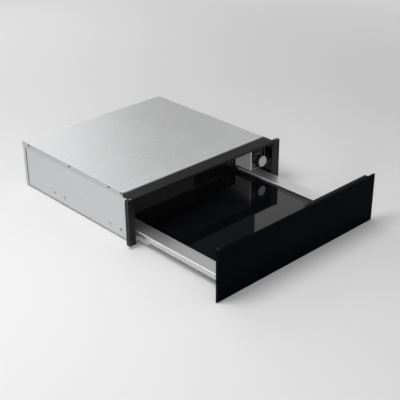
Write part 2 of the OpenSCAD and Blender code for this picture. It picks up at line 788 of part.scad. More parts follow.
// A sintered bush at each end of the shaft, with a collar against the casing
module bearing_bush() framed() color("peru")
    for (s = [0, 1])
        translate([casing_x[s], 0, 0]) mirror([s, 0, 0])
            difference() {
                union() {
                    bar_x([-bush_l / 2, sheet_t], blower_y, blower_z, bush_d);
                    bar_x([-bush_l / 2, 0], blower_y, blower_z, bush_d + 2 * disc_t);
                }
                bar_x([-bush_l, bush_l], blower_y, blower_z, shaft_d + 2 * shaft_clear);
            }

motor_t = 20;
motor_w = 54;
motor_h = 50;
motor_gap = 6;
motor_x = casing_x[1] + bush_l / 2 + motor_gap;

module blower_impeller() framed() color("dimgray") {
    bar_x([casing_x[0] - bush_l / 2, motor_x + motor_t + motor_gap], blower_y, blower_z, shaft_d);
    for (x = [blower_x[0], (blower_x[0] + blower_x[1] - disc_t) / 2, blower_x[1] - disc_t])
        bar_x([x, x + disc_t], blower_y, blower_z, impeller_d);
    along_x(blower_x[0], blower_x[1]) translate([blower_y, blower_z])
        for (i = [0 : blades - 1])
            rotate(i * 360 / blades) translate([impeller_d / 2 - blade_w, 0]) rotate(30)
                square([blade_w * 0.9, blade_t]);
    bar_x([motor_x + motor_gap / 4, motor_x + motor_t - motor_gap / 4], blower_y, blower_z,
        motor_h * 0.4);
}

// The shaded-pole motor: a laminated stack with the rotor's bore, its coil and two straps
module blower_motor() framed() color("darkgray") {
    difference() {
        union() {
            block([motor_x, motor_x + motor_t], [blower_y - motor_w / 2, blower_y + motor_w / 2],
                [blower_z - motor_h / 2, blower_z + motor_h * 0.35]);
            block([motor_x - motor_gap / 2, motor_x + motor_t + motor_gap / 2],
                [blower_y - motor_w / 4, blower_y + motor_w / 4],
                [blower_z + motor_h * 0.28, blower_z + motor_h * 0.5]);
        }
        bar_x([motor_x - over, motor_x + motor_t + over], blower_y, blower_z, motor_h * 0.4 + 2 * rail_clear);
    }
    for (s = [-1, 1])
        block([casing_x[1], motor_x], [blower_y + s * motor_w / 2 - (s + 1) / 2 * motor_gap,
                blower_y + s * motor_w / 2 - (s - 1) / 2 * motor_gap],
            [blower_z - motor_gap / 2, blower_z + motor_gap / 2]);
}

// The tubular heater: two runs in front of the outlet whose tails pass through the baffle
heater_tail_l = 5;
heater_y = baffle_y - guard_d / 2;
heater_z = (outlet_low_z + outlet_top_z) / 2 - heater_pitch / 2;
heater_left_x = blower_x[0] + heater_pitch;
heater_tail_x = blower_x[1] + heater_pitch;

module heater_tail(x, z) {
    translate([x - heater_pitch / 2, heater_y + heater_pitch / 2, z]) rotate(-90)
        rotate_extrude(angle = 90) translate([heater_pitch / 2, 0]) circle(d = heater_d);
    bar_y(x, [heater_y + heater_pitch / 2, baffle_y + heater_tail_l], z, heater_d);
}

module heating_element() framed() color("dimgray") {
    right = heater_tail_x - heater_pitch / 2;
    bar_x([heater_left_x, right], heater_y, heater_z + heater_pitch, heater_d);
    bar_x([heater_left_x, right + heater_pitch], heater_y, heater_z, heater_d);
    translate([heater_left_x, heater_y, heater_z + heater_pitch / 2]) rotate([90, 0, 0]) rotate(90)
        rotate_extrude(angle = 180) translate([heater_pitch / 2, 0]) circle(d = heater_d);
    heater_tail(heater_tail_x, heater_z + heater_pitch);
    heater_tail(heater_tail_x + heater_pitch, heater_z);
}

guard_x = [blower_x[0] - heater_pitch, guard_right_x];
guard_z = [outlet_low_z - heater_pitch, outlet_top_z + heater_pitch];
guard_slot_w = 4;

// The guard: a slotted steel box over the heater
module heater_guard() framed() color("darkgray") {
    y0 = baffle_y - guard_d;
    count = floor((guard_x[1] - guard_x[0]) / (3 * guard_slot_w));
    difference() {
        block(guard_x, [y0, baffle_y], guard_z);
        block([guard_x[0] + sheet_t, guard_x[1] - sheet_t], [y0 + sheet_t, baffle_y + over],
            [guard_z[0] + sheet_t, guard_z[1] - sheet_t]);
        for (i = [1 : count - 1])
            translate([guard_x[0] + i * 3 * guard_slot_w, 0, (guard_z[0] + guard_z[1]) / 2])
                along_y(y0 - over, y0 + sheet_t + over)
                    rotate(90) slot(guard_z[1] - guard_z[0] - 3 * guard_slot_w, guard_slot_w);
    }
}

cutout_d = 18;
cutout_t = 9;
cutout_x = latch_x + latch_w + cutout_d;

module safety_cutout() framed() color("saddlebrown") {
    z = heater_z + heater_pitch;
    bar_y(cutout_x, [baffle_y - cutout_t, baffle_y], z, cutout_d);
    block([cutout_x - cutout_d, cutout_x + cutout_d], [baffle_y - sheet_t, baffle_y],
        [z - cutout_d / 4, z + cutout_d / 4]);
}

// The telescopic rails, drawn for the right side: the fixed rail opens inwards and holds the
// middle rail, whose inner half runs in the drawer's rail
module fixed_rail()
    along_y(flange_y + sheet_t, flange_y + sheet_t + fixed_rail_l)
        difference() {
            translate([fixed_rail_x, fixed_rail_z]) square([fixed_rail_w, fixed_rail_h]);
            translate([fixed_rail_x - over, fixed_rail_z + rail_wall])
                square([fixed_rail_w + over - rail_wall, fixed_rail_h - 2 * rail_wall]);
        }

module left_fixed_rail() framed() color("silver") left_hand() fixed_rail();

module right_fixed_rail() framed() color("silver") fixed_rail();

module middle_rail()
    along_y(-middle_reach, -middle_reach + middle_rail_l)
        difference() {
            translate([middle_rail_x, fixed_rail_z + rail_wall + rail_clear])
                square([middle_rail_w, middle_rail_h]);
            translate([middle_rail_x + rail_wall, fixed_rail_z + 2 * rail_wall + rail_clear])
                square([middle_rail_w, middle_rail_h - 2 * rail_wall]);
        }

module left_middle_rail() framed() color("silver") left_hand() middle_rail();

module right_middle_rail() framed() color("silver") middle_rail();

module drawer_rail()
    along_y(drawer_front_y + rail_clear, drawer_rear_y - over)
        difference() {
            translate([drawer_rail_x, fixed_rail_z])
                square([fixed_rail_x - rail_clear - drawer_rail_x, fixed_rail_h]);
            translate([drawer_rail_x + rail_wall, fixed_rail_z + rail_wall])
                square([fixed_rail_w, fixed_rail_h - 2 * rail_wall]);
        }

module left_drawer_rail() in_drawer() color("silver") left_hand() drawer_rail();

module right_drawer_rail() in_drawer() color("silver") drawer_rail();

// The push latch: a case on the baffle and a sprung plunger that meets the drawer's striker
striker_t = 1.5;
latch_z = plate_z + rear_wall_rise / 2;
tip_y = drawer_rear_y + striker_t + rail_clear;
latch_front_y = tip_y + plunger_stroke + 2 * over;

module latch_body() framed() color("dimgray")
    difference() {
        block([latch_x - latch_w / 2, latch_x + latch_w / 2], [latch_front_y, baffle_y],
            [latch_z - latch_w / 2, latch_z + latch_w / 2]);
        bar_y(latch_x, [latch_front_y - over, baffle_y - 2 * over], latch_z, plunger_d + 2 * spindle_clear);
    }

module latch_plunger() framed() color("white")
    bar_y(latch_x, [tip_y, baffle_y - 2 * over - plunger_stroke - rail_clear], latch_z, plunger_d);

module latch_striker() in_drawer() color("silver")
    bar_y(latch_x, [drawer_rear_y, drawer_rear_y + striker_t], latch_z, plunger_d * 3 / 2);

// The drawer's tray: a bent pan between the rails that carries the flanges and the glass
module drawer_tray() in_drawer() color("silver") {
    x = tray_x - sheet_t / 2;
    z = fixed_rail_z + sheet_t / 2;
    along_y(drawer_front_y + sheet_t, drawer_rear_y - sheet_t)
        strip([[-x, flange_z - sheet_t], [-x, z], [x, z], [x, flange_z - sheet_t]]);
}

// A drawer side: the ledge under the glass, the inner lip, the wide flange and the outer wall
wall_return = 5;

module drawer_side()
    difference() {
        along_y(drawer_front_y, drawer_rear_y - sheet_t)
            strip([[flange_in_x - ledge_w, ledge_z - sheet_t / 2],
                [flange_in_x + sheet_t / 2, ledge_z - sheet_t / 2],
                [flange_in_x + sheet_t / 2, flange_z - sheet_t / 2], [drawer_x - sheet_t / 2, flange_z - sheet_t / 2],
                [drawer_x - sheet_t / 2, flange_z - outer_wall_h + sheet_t / 2],
                [drawer_x - wall_return, flange_z - outer_wall_h + sheet_t / 2]]);
        block([flange_in_x - ledge_w - over, tray_x],
            [drawer_front_y - over, drawer_front_y + front_rim_d], [0, flange_z - sheet_t]);
        block([flange_in_x - ledge_w - over, flange_in_x],
            [drawer_front_y - over, drawer_front_y + front_rim_d + ledge_w], [0, flange_z - sheet_t]);
        block([flange_in_x - ledge_w - over, flange_in_x + 2 * sheet_t],
            [drawer_rear_y - 2 * sheet_t, drawer_rear_y], [0, flange_z - sheet_t]);
    }

module drawer_left_side() in_drawer() color("lightgray") left_hand() drawer_side();

module drawer_right_side() in_drawer() color("lightgray") drawer_side();

glass_front_y = drawer_front_y + front_rim_d + bend_r + glass_clear;
glass_rear_y = drawer_rear_y - sheet_t - glass_clear;
glass_x = flange_in_x - bend_r - glass_clear;

module drawer_front_rim() in_drawer() color("lightgray") {
    y = drawer_front_y;
    difference() {
        union() {
            along_x(-flange_in_x, flange_in_x)
                strip([[y + front_rim_d + ledge_w, ledge_z - sheet_t / 2],
                    [y + front_rim_d - sheet_t / 2, ledge_z - sheet_t / 2],
                    [y + front_rim_d - sheet_t / 2, flange_z - sheet_t / 2],
                    [y + sheet_t / 2, flange_z - sheet_t / 2], [y + sheet_t / 2, tray_z + sheet_t]]);
            block([-tray_x, tray_x], [y, y + sheet_t], [tray_z + sheet_t, flange_z - 2 * sheet_t]);
        }
        for (s = [-1, 1], z = bracket_screw_zs)
            bar_y(s * bracket_screw_x, [y - over, y + 2 * sheet_t], z, screw_d + 2 * screw_clear);
    }
}

wall_slots = 17;
wall_slot_w = 4;
wall_slot_l = 28;
wall_slot_pitch = 9;

// The drawer's rear wall: its upper part is slotted on the right, where the warm air comes in
module drawer_rear_wall() in_drawer() color("dimgray") {
    y = drawer_rear_y;
    upper_x = control_x - 2 * over;
    difference() {
        union() {
            block([-tray_x, tray_x], [y - sheet_t, y], [fixed_rail_z, flange_z - sheet_t]);
            along_x(-upper_x, upper_x)
                strip([[y - sheet_t / 2, flange_z - 2 * sheet_t], [y - sheet_t / 2, rear_wall_z - sheet_t / 2],
                    [y + 4 * sheet_t, rear_wall_z - sheet_t / 2]]);
        }
        for (i = [0 : wall_slots - 1])
            translate([upper_x * 0.96 - (i + 1 / 2) * wall_slot_pitch, 0, plate_z + rear_wall_rise / 2])
                along_y(y - sheet_t - over, y + over) rotate(90) slot(wall_slot_l, wall_slot_w);
    }
    ledge_x = flange_in_x - ledge_w - over;
    block([-ledge_x, ledge_x], [y - sheet_t - ledge_w, y - sheet_t], [ledge_z - sheet_t, ledge_z]);
}

support_w = 30;
support_shares = [0.3, 0.7];

// Hat-shaped ribs that carry the middle of the glass plate
module glass_supports() in_drawer() color("silver")
    for (share = support_shares)
        along_x(-flange_in_x + 2 * ledge_w, flange_in_x - 2 * ledge_w)
            translate([drawer_front_y + share * drawer_l, 0])
                strip([[-support_w, fixed_rail_z + sheet_t * 3 / 2], [-support_w / 2, fixed_rail_z + sheet_t * 3 / 2],
                    [-support_w / 2, ledge_z - sheet_t / 2], [support_w / 2, ledge_z - sheet_t / 2],
                    [support_w / 2, fixed_rail_z + sheet_t * 3 / 2], [support_w, fixed_rail_z + sheet_t * 3 / 2]]);

glass_corner_r = 3;

module glass_plate() in_drawer() color("black")
    along_z(ledge_z, plate_z)
        round_rect([-glass_x, glass_x], [glass_front_y, glass_rear_y], glass_corner_r);

module glass_trim() in_drawer() color("dimgray")
    along_z(plate_z, plate_z + trim_t)
        difference() {
            round_rect([-glass_x, glass_x], [glass_front_y, glass_rear_y], glass_corner_r);
            round_rect([-glass_x + trim_w, glass_x - trim_w],
                [glass_front_y + trim_w / 2, glass_rear_y - trim_w / 2], glass_corner_r);
        }

glass_y = drawer_front_y - front_t;
backplate_x = front_w / 2 - backplate_inset;
backplate_z = [front_clear + backplate_edge, front_clear + front_h - backplate_edge];

// The steel tray behind the glass front, and the panel that closes its back
module front_backplate() in_drawer() color("dimgray") {
    y0 = glass_y + front_glass_t;
    y1 = drawer_front_y - sheet_t;
    difference() {
        block([-backplate_x, backplate_x], [y0, y1], backplate_z);
        block([-backplate_x + sheet_t, backplate_x - sheet_t], [y0 + sheet_t, y1 + over],
            [backplate_z[0] + sheet_t, backplate_z[1] - sheet_t]);
    }
}

module front_inner_panel() in_drawer() color("dimgray")
    difference() {
        block([-backplate_x, backplate_x], [drawer_front_y - sheet_t, drawer_front_y], backplate_z);
        for (s = [-1, 1], z = bracket_screw_zs)
            bar_y(s * bracket_screw_x, [drawer_front_y - 2 * sheet_t, drawer_front_y + over], z,
                screw_d + 2 * screw_clear);
    }

// The glass front, with polished chamfers along every edge
module front_glass() in_drawer() color("black") {
    c = front_chamfer;
    z0 = front_clear;
    z1 = front_clear + front_h;
    x = front_w / 2;
    intersection() {
        along_x(-x, x)
            polygon([[glass_y, z0 + c], [glass_y + c, z0], [glass_y + front_glass_t - c, z0],
                [glass_y + front_glass_t, z0 + c], [glass_y + front_glass_t, z1 - c],
                [glass_y + front_glass_t - c, z1], [glass_y + c, z1], [glass_y, z1 - c]]);
        along_z(0, z1)
            polygon([[-x + c, glass_y], [x - c, glass_y], [x, glass_y + c], [x, glass_y + front_glass_t - c],
                [x - c, glass_y + front_glass_t], [-x + c, glass_y + front_glass_t],
                [-x, glass_y + front_glass_t - c], [-x, glass_y + c]]);
    }
}

bracket_w = 26;
bracket_l = 60;
bracket_t = 2;
bracket_drop = 3;
bracket_screw_x = tray_x - bracket_w / 2;
bracket_z = [fixed_rail_z + 2 * sheet_t, flange_z - sheet_t - bracket_drop];
bracket_screw_zs = [bracket_z[0] + screw_head_d * 0.7, bracket_z[1] - screw_head_d * 0.7];

// Angle brackets inside the tray's sides that carry the front
module front_brackets() in_drawer() color("silver")
    for (s = [-1, 1])
        difference() {
            union() {
                block([s > 0 ? tray_x - sheet_t - bracket_t : -tray_x + sheet_t,
                        s > 0 ? tray_x - sheet_t : -tray_x + sheet_t + bracket_t],
                    [drawer_front_y + sheet_t, drawer_front_y + bracket_l], bracket_z);
                block([s > 0 ? tray_x - bracket_w : -tray_x + sheet_t,
                        s > 0 ? tray_x - sheet_t : -tray_x + bracket_w],
                    [drawer_front_y + sheet_t, drawer_front_y + sheet_t + bracket_t], bracket_z);
            }
            for (z = bracket_screw_zs)
                bar_y(s * bracket_screw_x, [drawer_front_y, drawer_front_y + 2 * bracket_t], z,
                    screw_d + 2 * screw_clear);
        }

module front_screws() in_drawer() color("lightgray")
    for (s = [-1, 1], z = bracket_screw_zs)
        translate([s * bracket_screw_x, drawer_front_y + sheet_t + bracket_t, z]) rotate([-90, 0, 0])
            screw(screw_head_d, screw_head_h, screw_d, screw_l);

module front_buffers() in_drawer() color("black")
    for (s = [-1, 1], z = [backplate_z[0] + buffer_d, backplate_z[1] - buffer_d])
        bar_y(s * (backplate_x - buffer_d / 2 - 2 * sheet_t), [drawer_front_y, -rail_clear], z, buffer_d);

base_pan();
left_side_panel();
right_side_panel();
rear_panel();
top_cover();
cover_screws();
rubber_pads();
top_rail();
left_post();
right_post();
frame_screws();
control_box();
control_fascia();
thermostat();
thermostat_spindle();
temperature_knob();
knob_cap();
switch_body();
switch_rocker();
pilot_lamp();
rear_baffle();
blower_casing();
blower_impeller();
blower_motor();
bearing_bush();
heating_element();
heater_guard();
safety_cutout();
terminal_block();
cable_gland();
wiring_loom();
left_fixed_rail();
right_fixed_rail();
left_middle_rail();
right_middle_rail();
left_drawer_rail();
right_drawer_rail();
latch_body();
latch_plunger();
latch_striker();
drawer_tray();
drawer_left_side();
drawer_right_side();
drawer_front_rim();
drawer_rear_wall();
glass_supports();
glass_plate();
glass_trim();
front_backplate();
front_inner_panel();
front_glass();
front_brackets();
front_screws();
front_buffers();
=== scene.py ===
"""Looks of a built-in warming drawer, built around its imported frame.

Sizes are in metres. X runs to the right, Y to the back and Z up, with the drawer drawn open.
"""

from __future__ import annotations

import logging
import math
from dataclasses import dataclass, field
from enum import Enum
from typing import Callable, Iterable, Iterator, Optional, Sequence

import bmesh
import bpy
import numpy as np
from mathutils import Matrix, Vector

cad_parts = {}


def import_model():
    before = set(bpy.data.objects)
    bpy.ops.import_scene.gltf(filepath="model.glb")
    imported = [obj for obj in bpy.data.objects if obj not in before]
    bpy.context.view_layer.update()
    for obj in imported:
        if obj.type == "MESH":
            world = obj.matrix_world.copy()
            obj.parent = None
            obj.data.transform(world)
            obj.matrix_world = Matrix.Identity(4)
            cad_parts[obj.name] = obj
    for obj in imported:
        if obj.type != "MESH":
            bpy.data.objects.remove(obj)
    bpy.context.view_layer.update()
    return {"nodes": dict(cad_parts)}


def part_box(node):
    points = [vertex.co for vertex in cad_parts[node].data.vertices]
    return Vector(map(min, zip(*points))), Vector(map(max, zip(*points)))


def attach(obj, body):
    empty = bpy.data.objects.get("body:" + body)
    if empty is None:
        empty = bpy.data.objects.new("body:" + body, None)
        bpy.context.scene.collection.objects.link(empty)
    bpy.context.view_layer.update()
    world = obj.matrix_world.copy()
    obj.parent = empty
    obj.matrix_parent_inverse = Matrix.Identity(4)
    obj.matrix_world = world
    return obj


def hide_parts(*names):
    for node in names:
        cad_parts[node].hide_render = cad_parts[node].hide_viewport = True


log = logging.getLogger("warming_drawer")

MM = 0.001
Colour = tuple[float, float, float]
Socket = bpy.types.NodeSocket


class Axis(Enum):
    """The direction in which a turned piece points."""

    X_POS = (1.0, 0.0, 0.0)
    X_NEG = (-1.0, 0.0, 0.0)
    Y_POS = (0.0, 1.0, 0.0)
    Y_NEG = (0.0, -1.0, 0.0)
    Z_POS = (0.0, 0.0, 1.0)


class Grain(Enum):
    """The direction in which a metal's brush lines run, as scales of its noise along X, Y and Z."""

    ALONG_X = (0.04, 1.0, 1.0)
    ALONG_Y = (1.0, 0.04, 1.0)
    ALONG_Z = (1.0, 1.0, 0.04)
    NONE = (1.0, 1.0, 1.0)


# ---------------------------------------------------------------- materials


class Tree:
    """A node tree, with short calls for the nodes that the finishes and the room share."""

    def __init__(self, tree: bpy.types.NodeTree) -> None:
        """Takes a material's or a world's tree and empties it."""
        self.tree = tree
        tree.nodes.clear()

    def feed(self, socket: Socket, value: object) -> None:
        """Joins an output to an input, or sets the input to a constant.

        Args:
            socket: The input.
            value: An output, a number, a vector or a colour.
        """
        if isinstance(value, Socket):
            self.tree.links.new(value, socket)
        elif socket.type == "RGBA":
            socket.default_value = (*value, 1.0)
        else:
            socket.default_value = value

    def node(self, kind: str, inputs: dict[int | str, object], **values: object) -> bpy.types.Node:
        """Adds a node.

        Args:
            kind: Blender's name of the node type, without its "ShaderNode".
            inputs: What feeds its inputs, by number or name.
            **values: Properties to set on the node.

        Returns:
            The new node.
        """
        new = self.tree.nodes.new("ShaderNode" + kind)
        for key, value in values.items():
            setattr(new, key, value)
        for key, value in inputs.items():
            self.feed(new.inputs[key], value)
        return new

    def math(self, operation: str, *values: Socket | float) -> Socket:
        """Combines values with one of Blender's operations."""
        return self.node("Math", dict(enumerate(values)), operation=operation).outputs[0]

    def vector(self, operation: str, *values: Socket | Sequence[float]) -> Socket:
        """Combines vectors; a length or a dot product comes out as a value."""
        outputs = self.node("VectorMath", dict(enumerate(values)), operation=operation).outputs
        return outputs["Value" if operation in ("LENGTH", "DOT_PRODUCT") else "Vector"]

    def weigh(self, first: Socket, share: float, second: Socket, other: float = 1.0) -> Socket:
        """Adds two values, each times its share."""
        return self.math("ADD", self.math("MULTIPLY", first, share), self.math("MULTIPLY", second, other))

    def spread(self, value: Socket, low: float, high: float) -> Socket:
        """Maps a value from 0..1 to low..high."""
        return self.node("MapRange", {"Value": value, "To Min": low, "To Max": high}).outputs[0]

    def sharpen(self, value: Socket, start: float, end: float) -> Socket:
        """Maps start..end of a value to 0..1, clamped."""
        return self.node("MapRange", {"Value": value, "From Min": start, "From Max": end}).outputs[0]

    def step(self, value: Socket, place: float, half: float) -> Socket:
        """A step from 0 to 1 at a place, as wide as twice the half."""
        return self.sharpen(value, place - half, place + half)

    def part(self, axis: int, source: Socket) -> Socket:
        """One coordinate of a vector."""
        return self.node("SeparateXYZ", {0: source}).outputs[axis]


class Recipe(Tree):
    """A material's node tree round a Principled shader, on Object coordinates."""

    def __init__(self, name: str) -> None:
        """Starts an empty material.

        Args:
            name: The material's name.
        """
        self.material = bpy.data.materials.new(name)
        self.material.use_nodes = True
        super().__init__(self.material.node_tree)
        self.shader = self.node("BsdfPrincipled", {})
        self.output = self.node("OutputMaterial", {"Surface": self.shader.outputs["BSDF"]})
        place = self.node("TexCoord", {}).outputs
        self.coords, self.normal = place["Object"], place["Normal"]

    def set(self, **values: object) -> None:
        """Feeds the shader's own sockets, with underscores for the spaces in their names."""
        for key, value in values.items():
            self.feed(self.shader.inputs[key.replace("_", " ")], value)

    def source(self, socket: str) -> Socket:
        """What feeds a shader socket so far."""
        return self.shader.inputs[socket].links[0].from_socket

    def noise(self, scale: float, detail: float = 2.0, rough: float = 0.5,
              stretch: Sequence[float] = Grain.NONE.value) -> Socket:
        """Adds a noise texture.

        Args:
            scale: Features per metre.
            detail: Octaves.
            rough: Weight of the finer octaves.
            stretch: Scales of the coordinates along X, Y and Z.

        Returns:
            The noise's value.
        """
        coords = self.vector("MULTIPLY", self.coords, stretch)
        return self.node("TexNoise", {"Vector": coords, "Scale": scale, "Detail": detail,
                                      "Roughness": rough}).outputs[0]

    def cells(self, scale: float) -> Socket:
        """A random value for each flat cell, such as a zinc crystal, with so many cells per metre."""
        new = self.node("TexVoronoi", {"Vector": self.coords, "Scale": scale})
        return self.node("SeparateColor", {0: new.outputs["Color"]}).outputs[0]

    def blend(self, factor: Socket, first: Socket | Colour, second: Socket | Colour) -> Socket:
        """Mixes two colours or values by a factor."""
        return self.node("Mix", {0: factor, 6: first, 7: second}, data_type="RGBA").outputs[2]

    def relief(self, height: Socket, depth: float) -> None:
        """Gives the shader a bump whose height from 0 to 1 stands for a depth in metres."""
        self.set(Normal=self.node("Bump", {"Height": height, "Distance": depth, "Strength": 1.0}).outputs[0])

    def slanted(self, start: float = 0.96, end: float = 0.86) -> Socket:
        """A mask of the bends and chamfers: 1 where no axis lines up with the surface's normal.

        Args:
            start: The largest part of a normal that still counts as flat.
            end: The largest part of a normal that counts as fully slanted.

        Returns:
            The mask from 0 to 1.
        """
        x, y, z = (self.math("ABSOLUTE", self.part(axis, self.normal)) for axis in range(3))
        return self.sharpen(self.math("MAXIMUM", self.math("MAXIMUM", x, y), z), start, end)

    def walls(self) -> Socket:
        """A mask of the upright faces that look along X."""
        return self.sharpen(self.math("ABSOLUTE", self.part(0, self.normal)), 0.6, 0.9)


def toned(colour: Colour, factor: float, lift: float = 0.0) -> Colour:
    """A colour times a factor plus a lift, at most 1."""
    return tuple(min(1.0, c * factor + lift) for c in colour)


MADE: dict[str, bpy.types.Material] = {}


@dataclass(frozen=True)
class Finish:
    """A finish that any piece can wear."""

    name: str
    colour: Colour

    def build(self) -> bpy.types.Material:
        """Makes the material once and returns it afterwards.

        Returns:
            The material.
        """
        if self.name not in MADE:
            recipe = Recipe("finish_" + self.name)
            self.mix(recipe)
            MADE[self.name] = recipe.material
        return MADE[self.name]

    def mix(self, recipe: Recipe) -> None:
        """Fills the recipe's nodes."""
        recipe.set(Base_Color=self.colour)


@dataclass(frozen=True)
class ZincSheet(Finish):
    """Skin-passed galvanised sheet: faint crystals, rolling streaks and handling marks."""

    roughness: float = 0.46
    metallic: float = 0.72
    crystal: float = 160.0
    contrast: float = 0.05
    grain: Grain = Grain.ALONG_Y
    streaks: float = 900.0
    stains: float = 9.0
    depth: float = 0.01 * MM

    def mix(self, recipe: Recipe) -> None:
        """Cells for the crystals, stretched noise for the streaks, soft noise for the stains.

        Args:
            recipe: The material's nodes.
        """
        cell, streak = recipe.cells(self.crystal), recipe.noise(self.streaks, 3.0, stretch=self.grain.value)
        mottle = recipe.weigh(cell, 0.45, recipe.noise(self.stains, 4.0, 0.6), 0.55)
        mixed = recipe.weigh(streak, 0.5, mottle, 0.5)
        recipe.set(Metallic=self.metallic,
                   Base_Color=recipe.blend(mottle, toned(self.colour, 1 - self.contrast),
                                           toned(self.colour, 1 + self.contrast)),
                   Roughness=recipe.spread(mixed, self.roughness - 0.08, self.roughness + 0.1))
        recipe.relief(recipe.weigh(cell, 0.3, streak), self.depth)


@dataclass(frozen=True)
class FoldedSheet(ZincSheet):
    """Galvanised sheet whose folded-down sides, the faces that look along X, are painted darker than its top: painted
    shade.
    """

    # How dark the sides that look along X are painted, as painted shade.
    shade: float = 0.86

    def mix(self, recipe: Recipe) -> None:
        """The mask of walls mixes a darker tone, painted shade, into the sheet's own."""
        super().mix(recipe)
        recipe.set(Base_Color=recipe.blend(recipe.walls(), recipe.source("Base Color"), toned(self.colour, self.shade)))


@dataclass(frozen=True)
class LinedPanel(ZincSheet):
    """Galvanised outside, and bright rolled sheet on the faces inside the housing."""

    inside: Colour = (0.20, 0.202, 0.205)
    cut: Colour = (0.16, 0.16, 0.163)
    wall: float = 263.5 * MM
    polish: float = 0.09
    depth: float = 0.006 * MM

    def mix(self, recipe: Recipe) -> None:
        """A sharp step of the distance from the middle tells the inner faces from the outer ones.

        Args:
            recipe: The material's nodes.
        """
        super().mix(recipe)
        outer = recipe.step(recipe.math("ABSOLUTE", recipe.part(0, recipe.coords)), self.wall, 0.1 * MM)
        streak = recipe.noise(self.streaks, 3.0, stretch=self.grain.value)
        bright = recipe.blend(streak, toned(self.inside, 0.94), self.inside)
        tone = recipe.blend(outer, bright, recipe.source("Base Color"))
        fine = recipe.spread(streak, self.polish - 0.02, self.polish + 0.03)
        recipe.set(Base_Color=recipe.blend(recipe.slanted(0.97, 0.9), tone, self.cut),
                   Roughness=recipe.blend(outer, fine, recipe.source("Roughness")),
                   Metallic=recipe.spread(outer, 1.0, self.metallic))


@dataclass(frozen=True)
class BrushedSteel(Finish):
    """Brushed stainless sheet: fine lines along one direction and a soft sheen."""

    roughness: float = 0.26
    grain: Grain = Grain.ALONG_Y
    lines: float = 3000.0
    anisotropy: float = 0.4
    contrast: float = 0.05
    metallic: float = 1.0
    depth: float = 0.002 * MM

    def mix(self, recipe: Recipe) -> None:
        """Stretched noise drives the roughness, the tone and a very shallow relief.

        Args:
            recipe: The material's nodes.
        """
        fine = recipe.noise(self.lines, stretch=self.grain.value)
        both = recipe.weigh(fine, 0.6, recipe.noise(self.lines / 12, 3.0, stretch=self.grain.value), 0.4)
        recipe.set(Metallic=self.metallic, Anisotropic=self.anisotropy,
                   Base_Color=recipe.blend(both, toned(self.colour, 1 - self.contrast),
                                           toned(self.colour, 1 + self.contrast)),
                   Roughness=recipe.spread(both, self.roughness - 0.04, self.roughness + 0.06))
        recipe.relief(fine, self.depth)


@dataclass(frozen=True)
class BentSteel(BrushedSteel):
    """Brushed sheet whose bends are painted near-white, a painted highlight, and whose upright walls are painted darker
    than its top, painted shade.
    """

    # The near-white tone of the bends: a painted highlight.
    bend: Colour = (0.95, 0.95, 0.955)
    painted_wall_shade: float = 0.8
    painted_highlight_metallic: float = 0.1

    def mix(self, recipe: Recipe) -> None:
        """The masks of walls and of slanted faces mix their tones into the sheet's own: painted shade on the walls, a
        painted highlight on the bends.

        Args:
            recipe: The material's nodes.
        """
        super().mix(recipe)
        # Painted shade on the upright walls, then a painted highlight on the bends, with less metal so that it stays
        # pale.
        painted_wall_tone = toned(self.colour, self.painted_wall_shade)
        sheet = recipe.blend(recipe.walls(), recipe.source("Base Color"), painted_wall_tone)
        bends = recipe.slanted(0.985, 0.93)
        recipe.set(Base_Color=recipe.blend(bends, sheet, self.bend),
                   Metallic=recipe.spread(bends, self.metallic, self.painted_highlight_metallic))


@dataclass(frozen=True)
class PowderCoat(Finish):
    """Powder-coated steel: a fine orange-peel relief and a satin sheen."""

    roughness: float = 0.42
    peel: float = 1100.0
    specular: float = 0.5
    wear: float = 0.12
    lift: float = 0.004
    depth: float = 0.01 * MM

    @staticmethod
    def rub(recipe: Recipe) -> Socket:
        """Broad noise: where hands and cloths rub."""
        return recipe.noise(14.0, 4.0, 0.65)

    def mix(self, recipe: Recipe) -> None:
        """Fine noise gives the peel, and the rubbing lifts the tone and moves the sheen.

        Args:
            recipe: The material's nodes.
        """
        rub = self.rub(recipe)
        recipe.set(Base_Color=recipe.blend(rub, self.colour, toned(self.colour, 1 + self.wear, self.lift)),
                   Roughness=recipe.spread(rub, self.roughness - 0.06, self.roughness + 0.06),
                   Specular_IOR_Level=self.specular)
        recipe.relief(recipe.noise(self.peel), self.depth)


@dataclass(frozen=True)
class EdgedCoat(PowderCoat):
    """A dark coat whose bends and arrises are painted a tone of their own, a painted highlight where lighter and
    painted shade where darker, varied by rubbing, with a lighter band at its rear if asked, which is a painted
    highlight.
    """

    lift: float = 0.001
    depth: float = 0.006 * MM
    # The arrises' painted tone: lighter is a painted highlight, darker is painted shade.
    edge: Colour = (0.1, 0.1, 0.1)
    # The rear band's tone: a painted highlight.
    band: Colour = (0.24, 0.24, 0.243)
    painted_highlight_from: float = 10.0

    def mix(self, recipe: Recipe) -> None:
        """The mask of slanted faces and a step of Y mix the edge's and the band's tones into the coat.

        Args:
            recipe: The material's nodes.
        """
        super().mix(recipe)
        # The painted edge tone, varied by rubbing, goes on the slanted faces; then the rear band's painted highlight.
        bare = recipe.blend(self.rub(recipe), self.edge, toned(self.edge, 0.6))
        coat = recipe.blend(recipe.slanted(), recipe.source("Base Color"), bare)
        rear = recipe.step(recipe.part(1, recipe.coords), self.painted_highlight_from, 0.8 * MM)
        recipe.set(Base_Color=recipe.blend(rear, coat, self.band))


@dataclass(frozen=True)
class PaintedShadeCoat(PowderCoat):
    """A dark coat that is painted darker beyond a line across X: painted shade."""

    wear: float = 0.2
    lift: float = 0.0
    depth: float = 0.006 * MM
    # The tone beyond the line: painted shade.
    beyond: Colour = (0.0, 0.0, 0.0)
    split: float = 0.0

    def mix(self, recipe: Recipe) -> None:
        """A sharp step of X mixes the two tones, the darker one painted shade, and the rubbing varies both.

        Args:
            recipe: The material's nodes.
        """
        super().mix(recipe)
        far = recipe.blend(self.rub(recipe), self.beyond, toned(self.beyond, 1 + self.wear))
        line = recipe.step(recipe.part(0, recipe.coords), self.split, 0.4 * MM)
        recipe.set(Base_Color=recipe.blend(line, recipe.source("Base Color"), far))


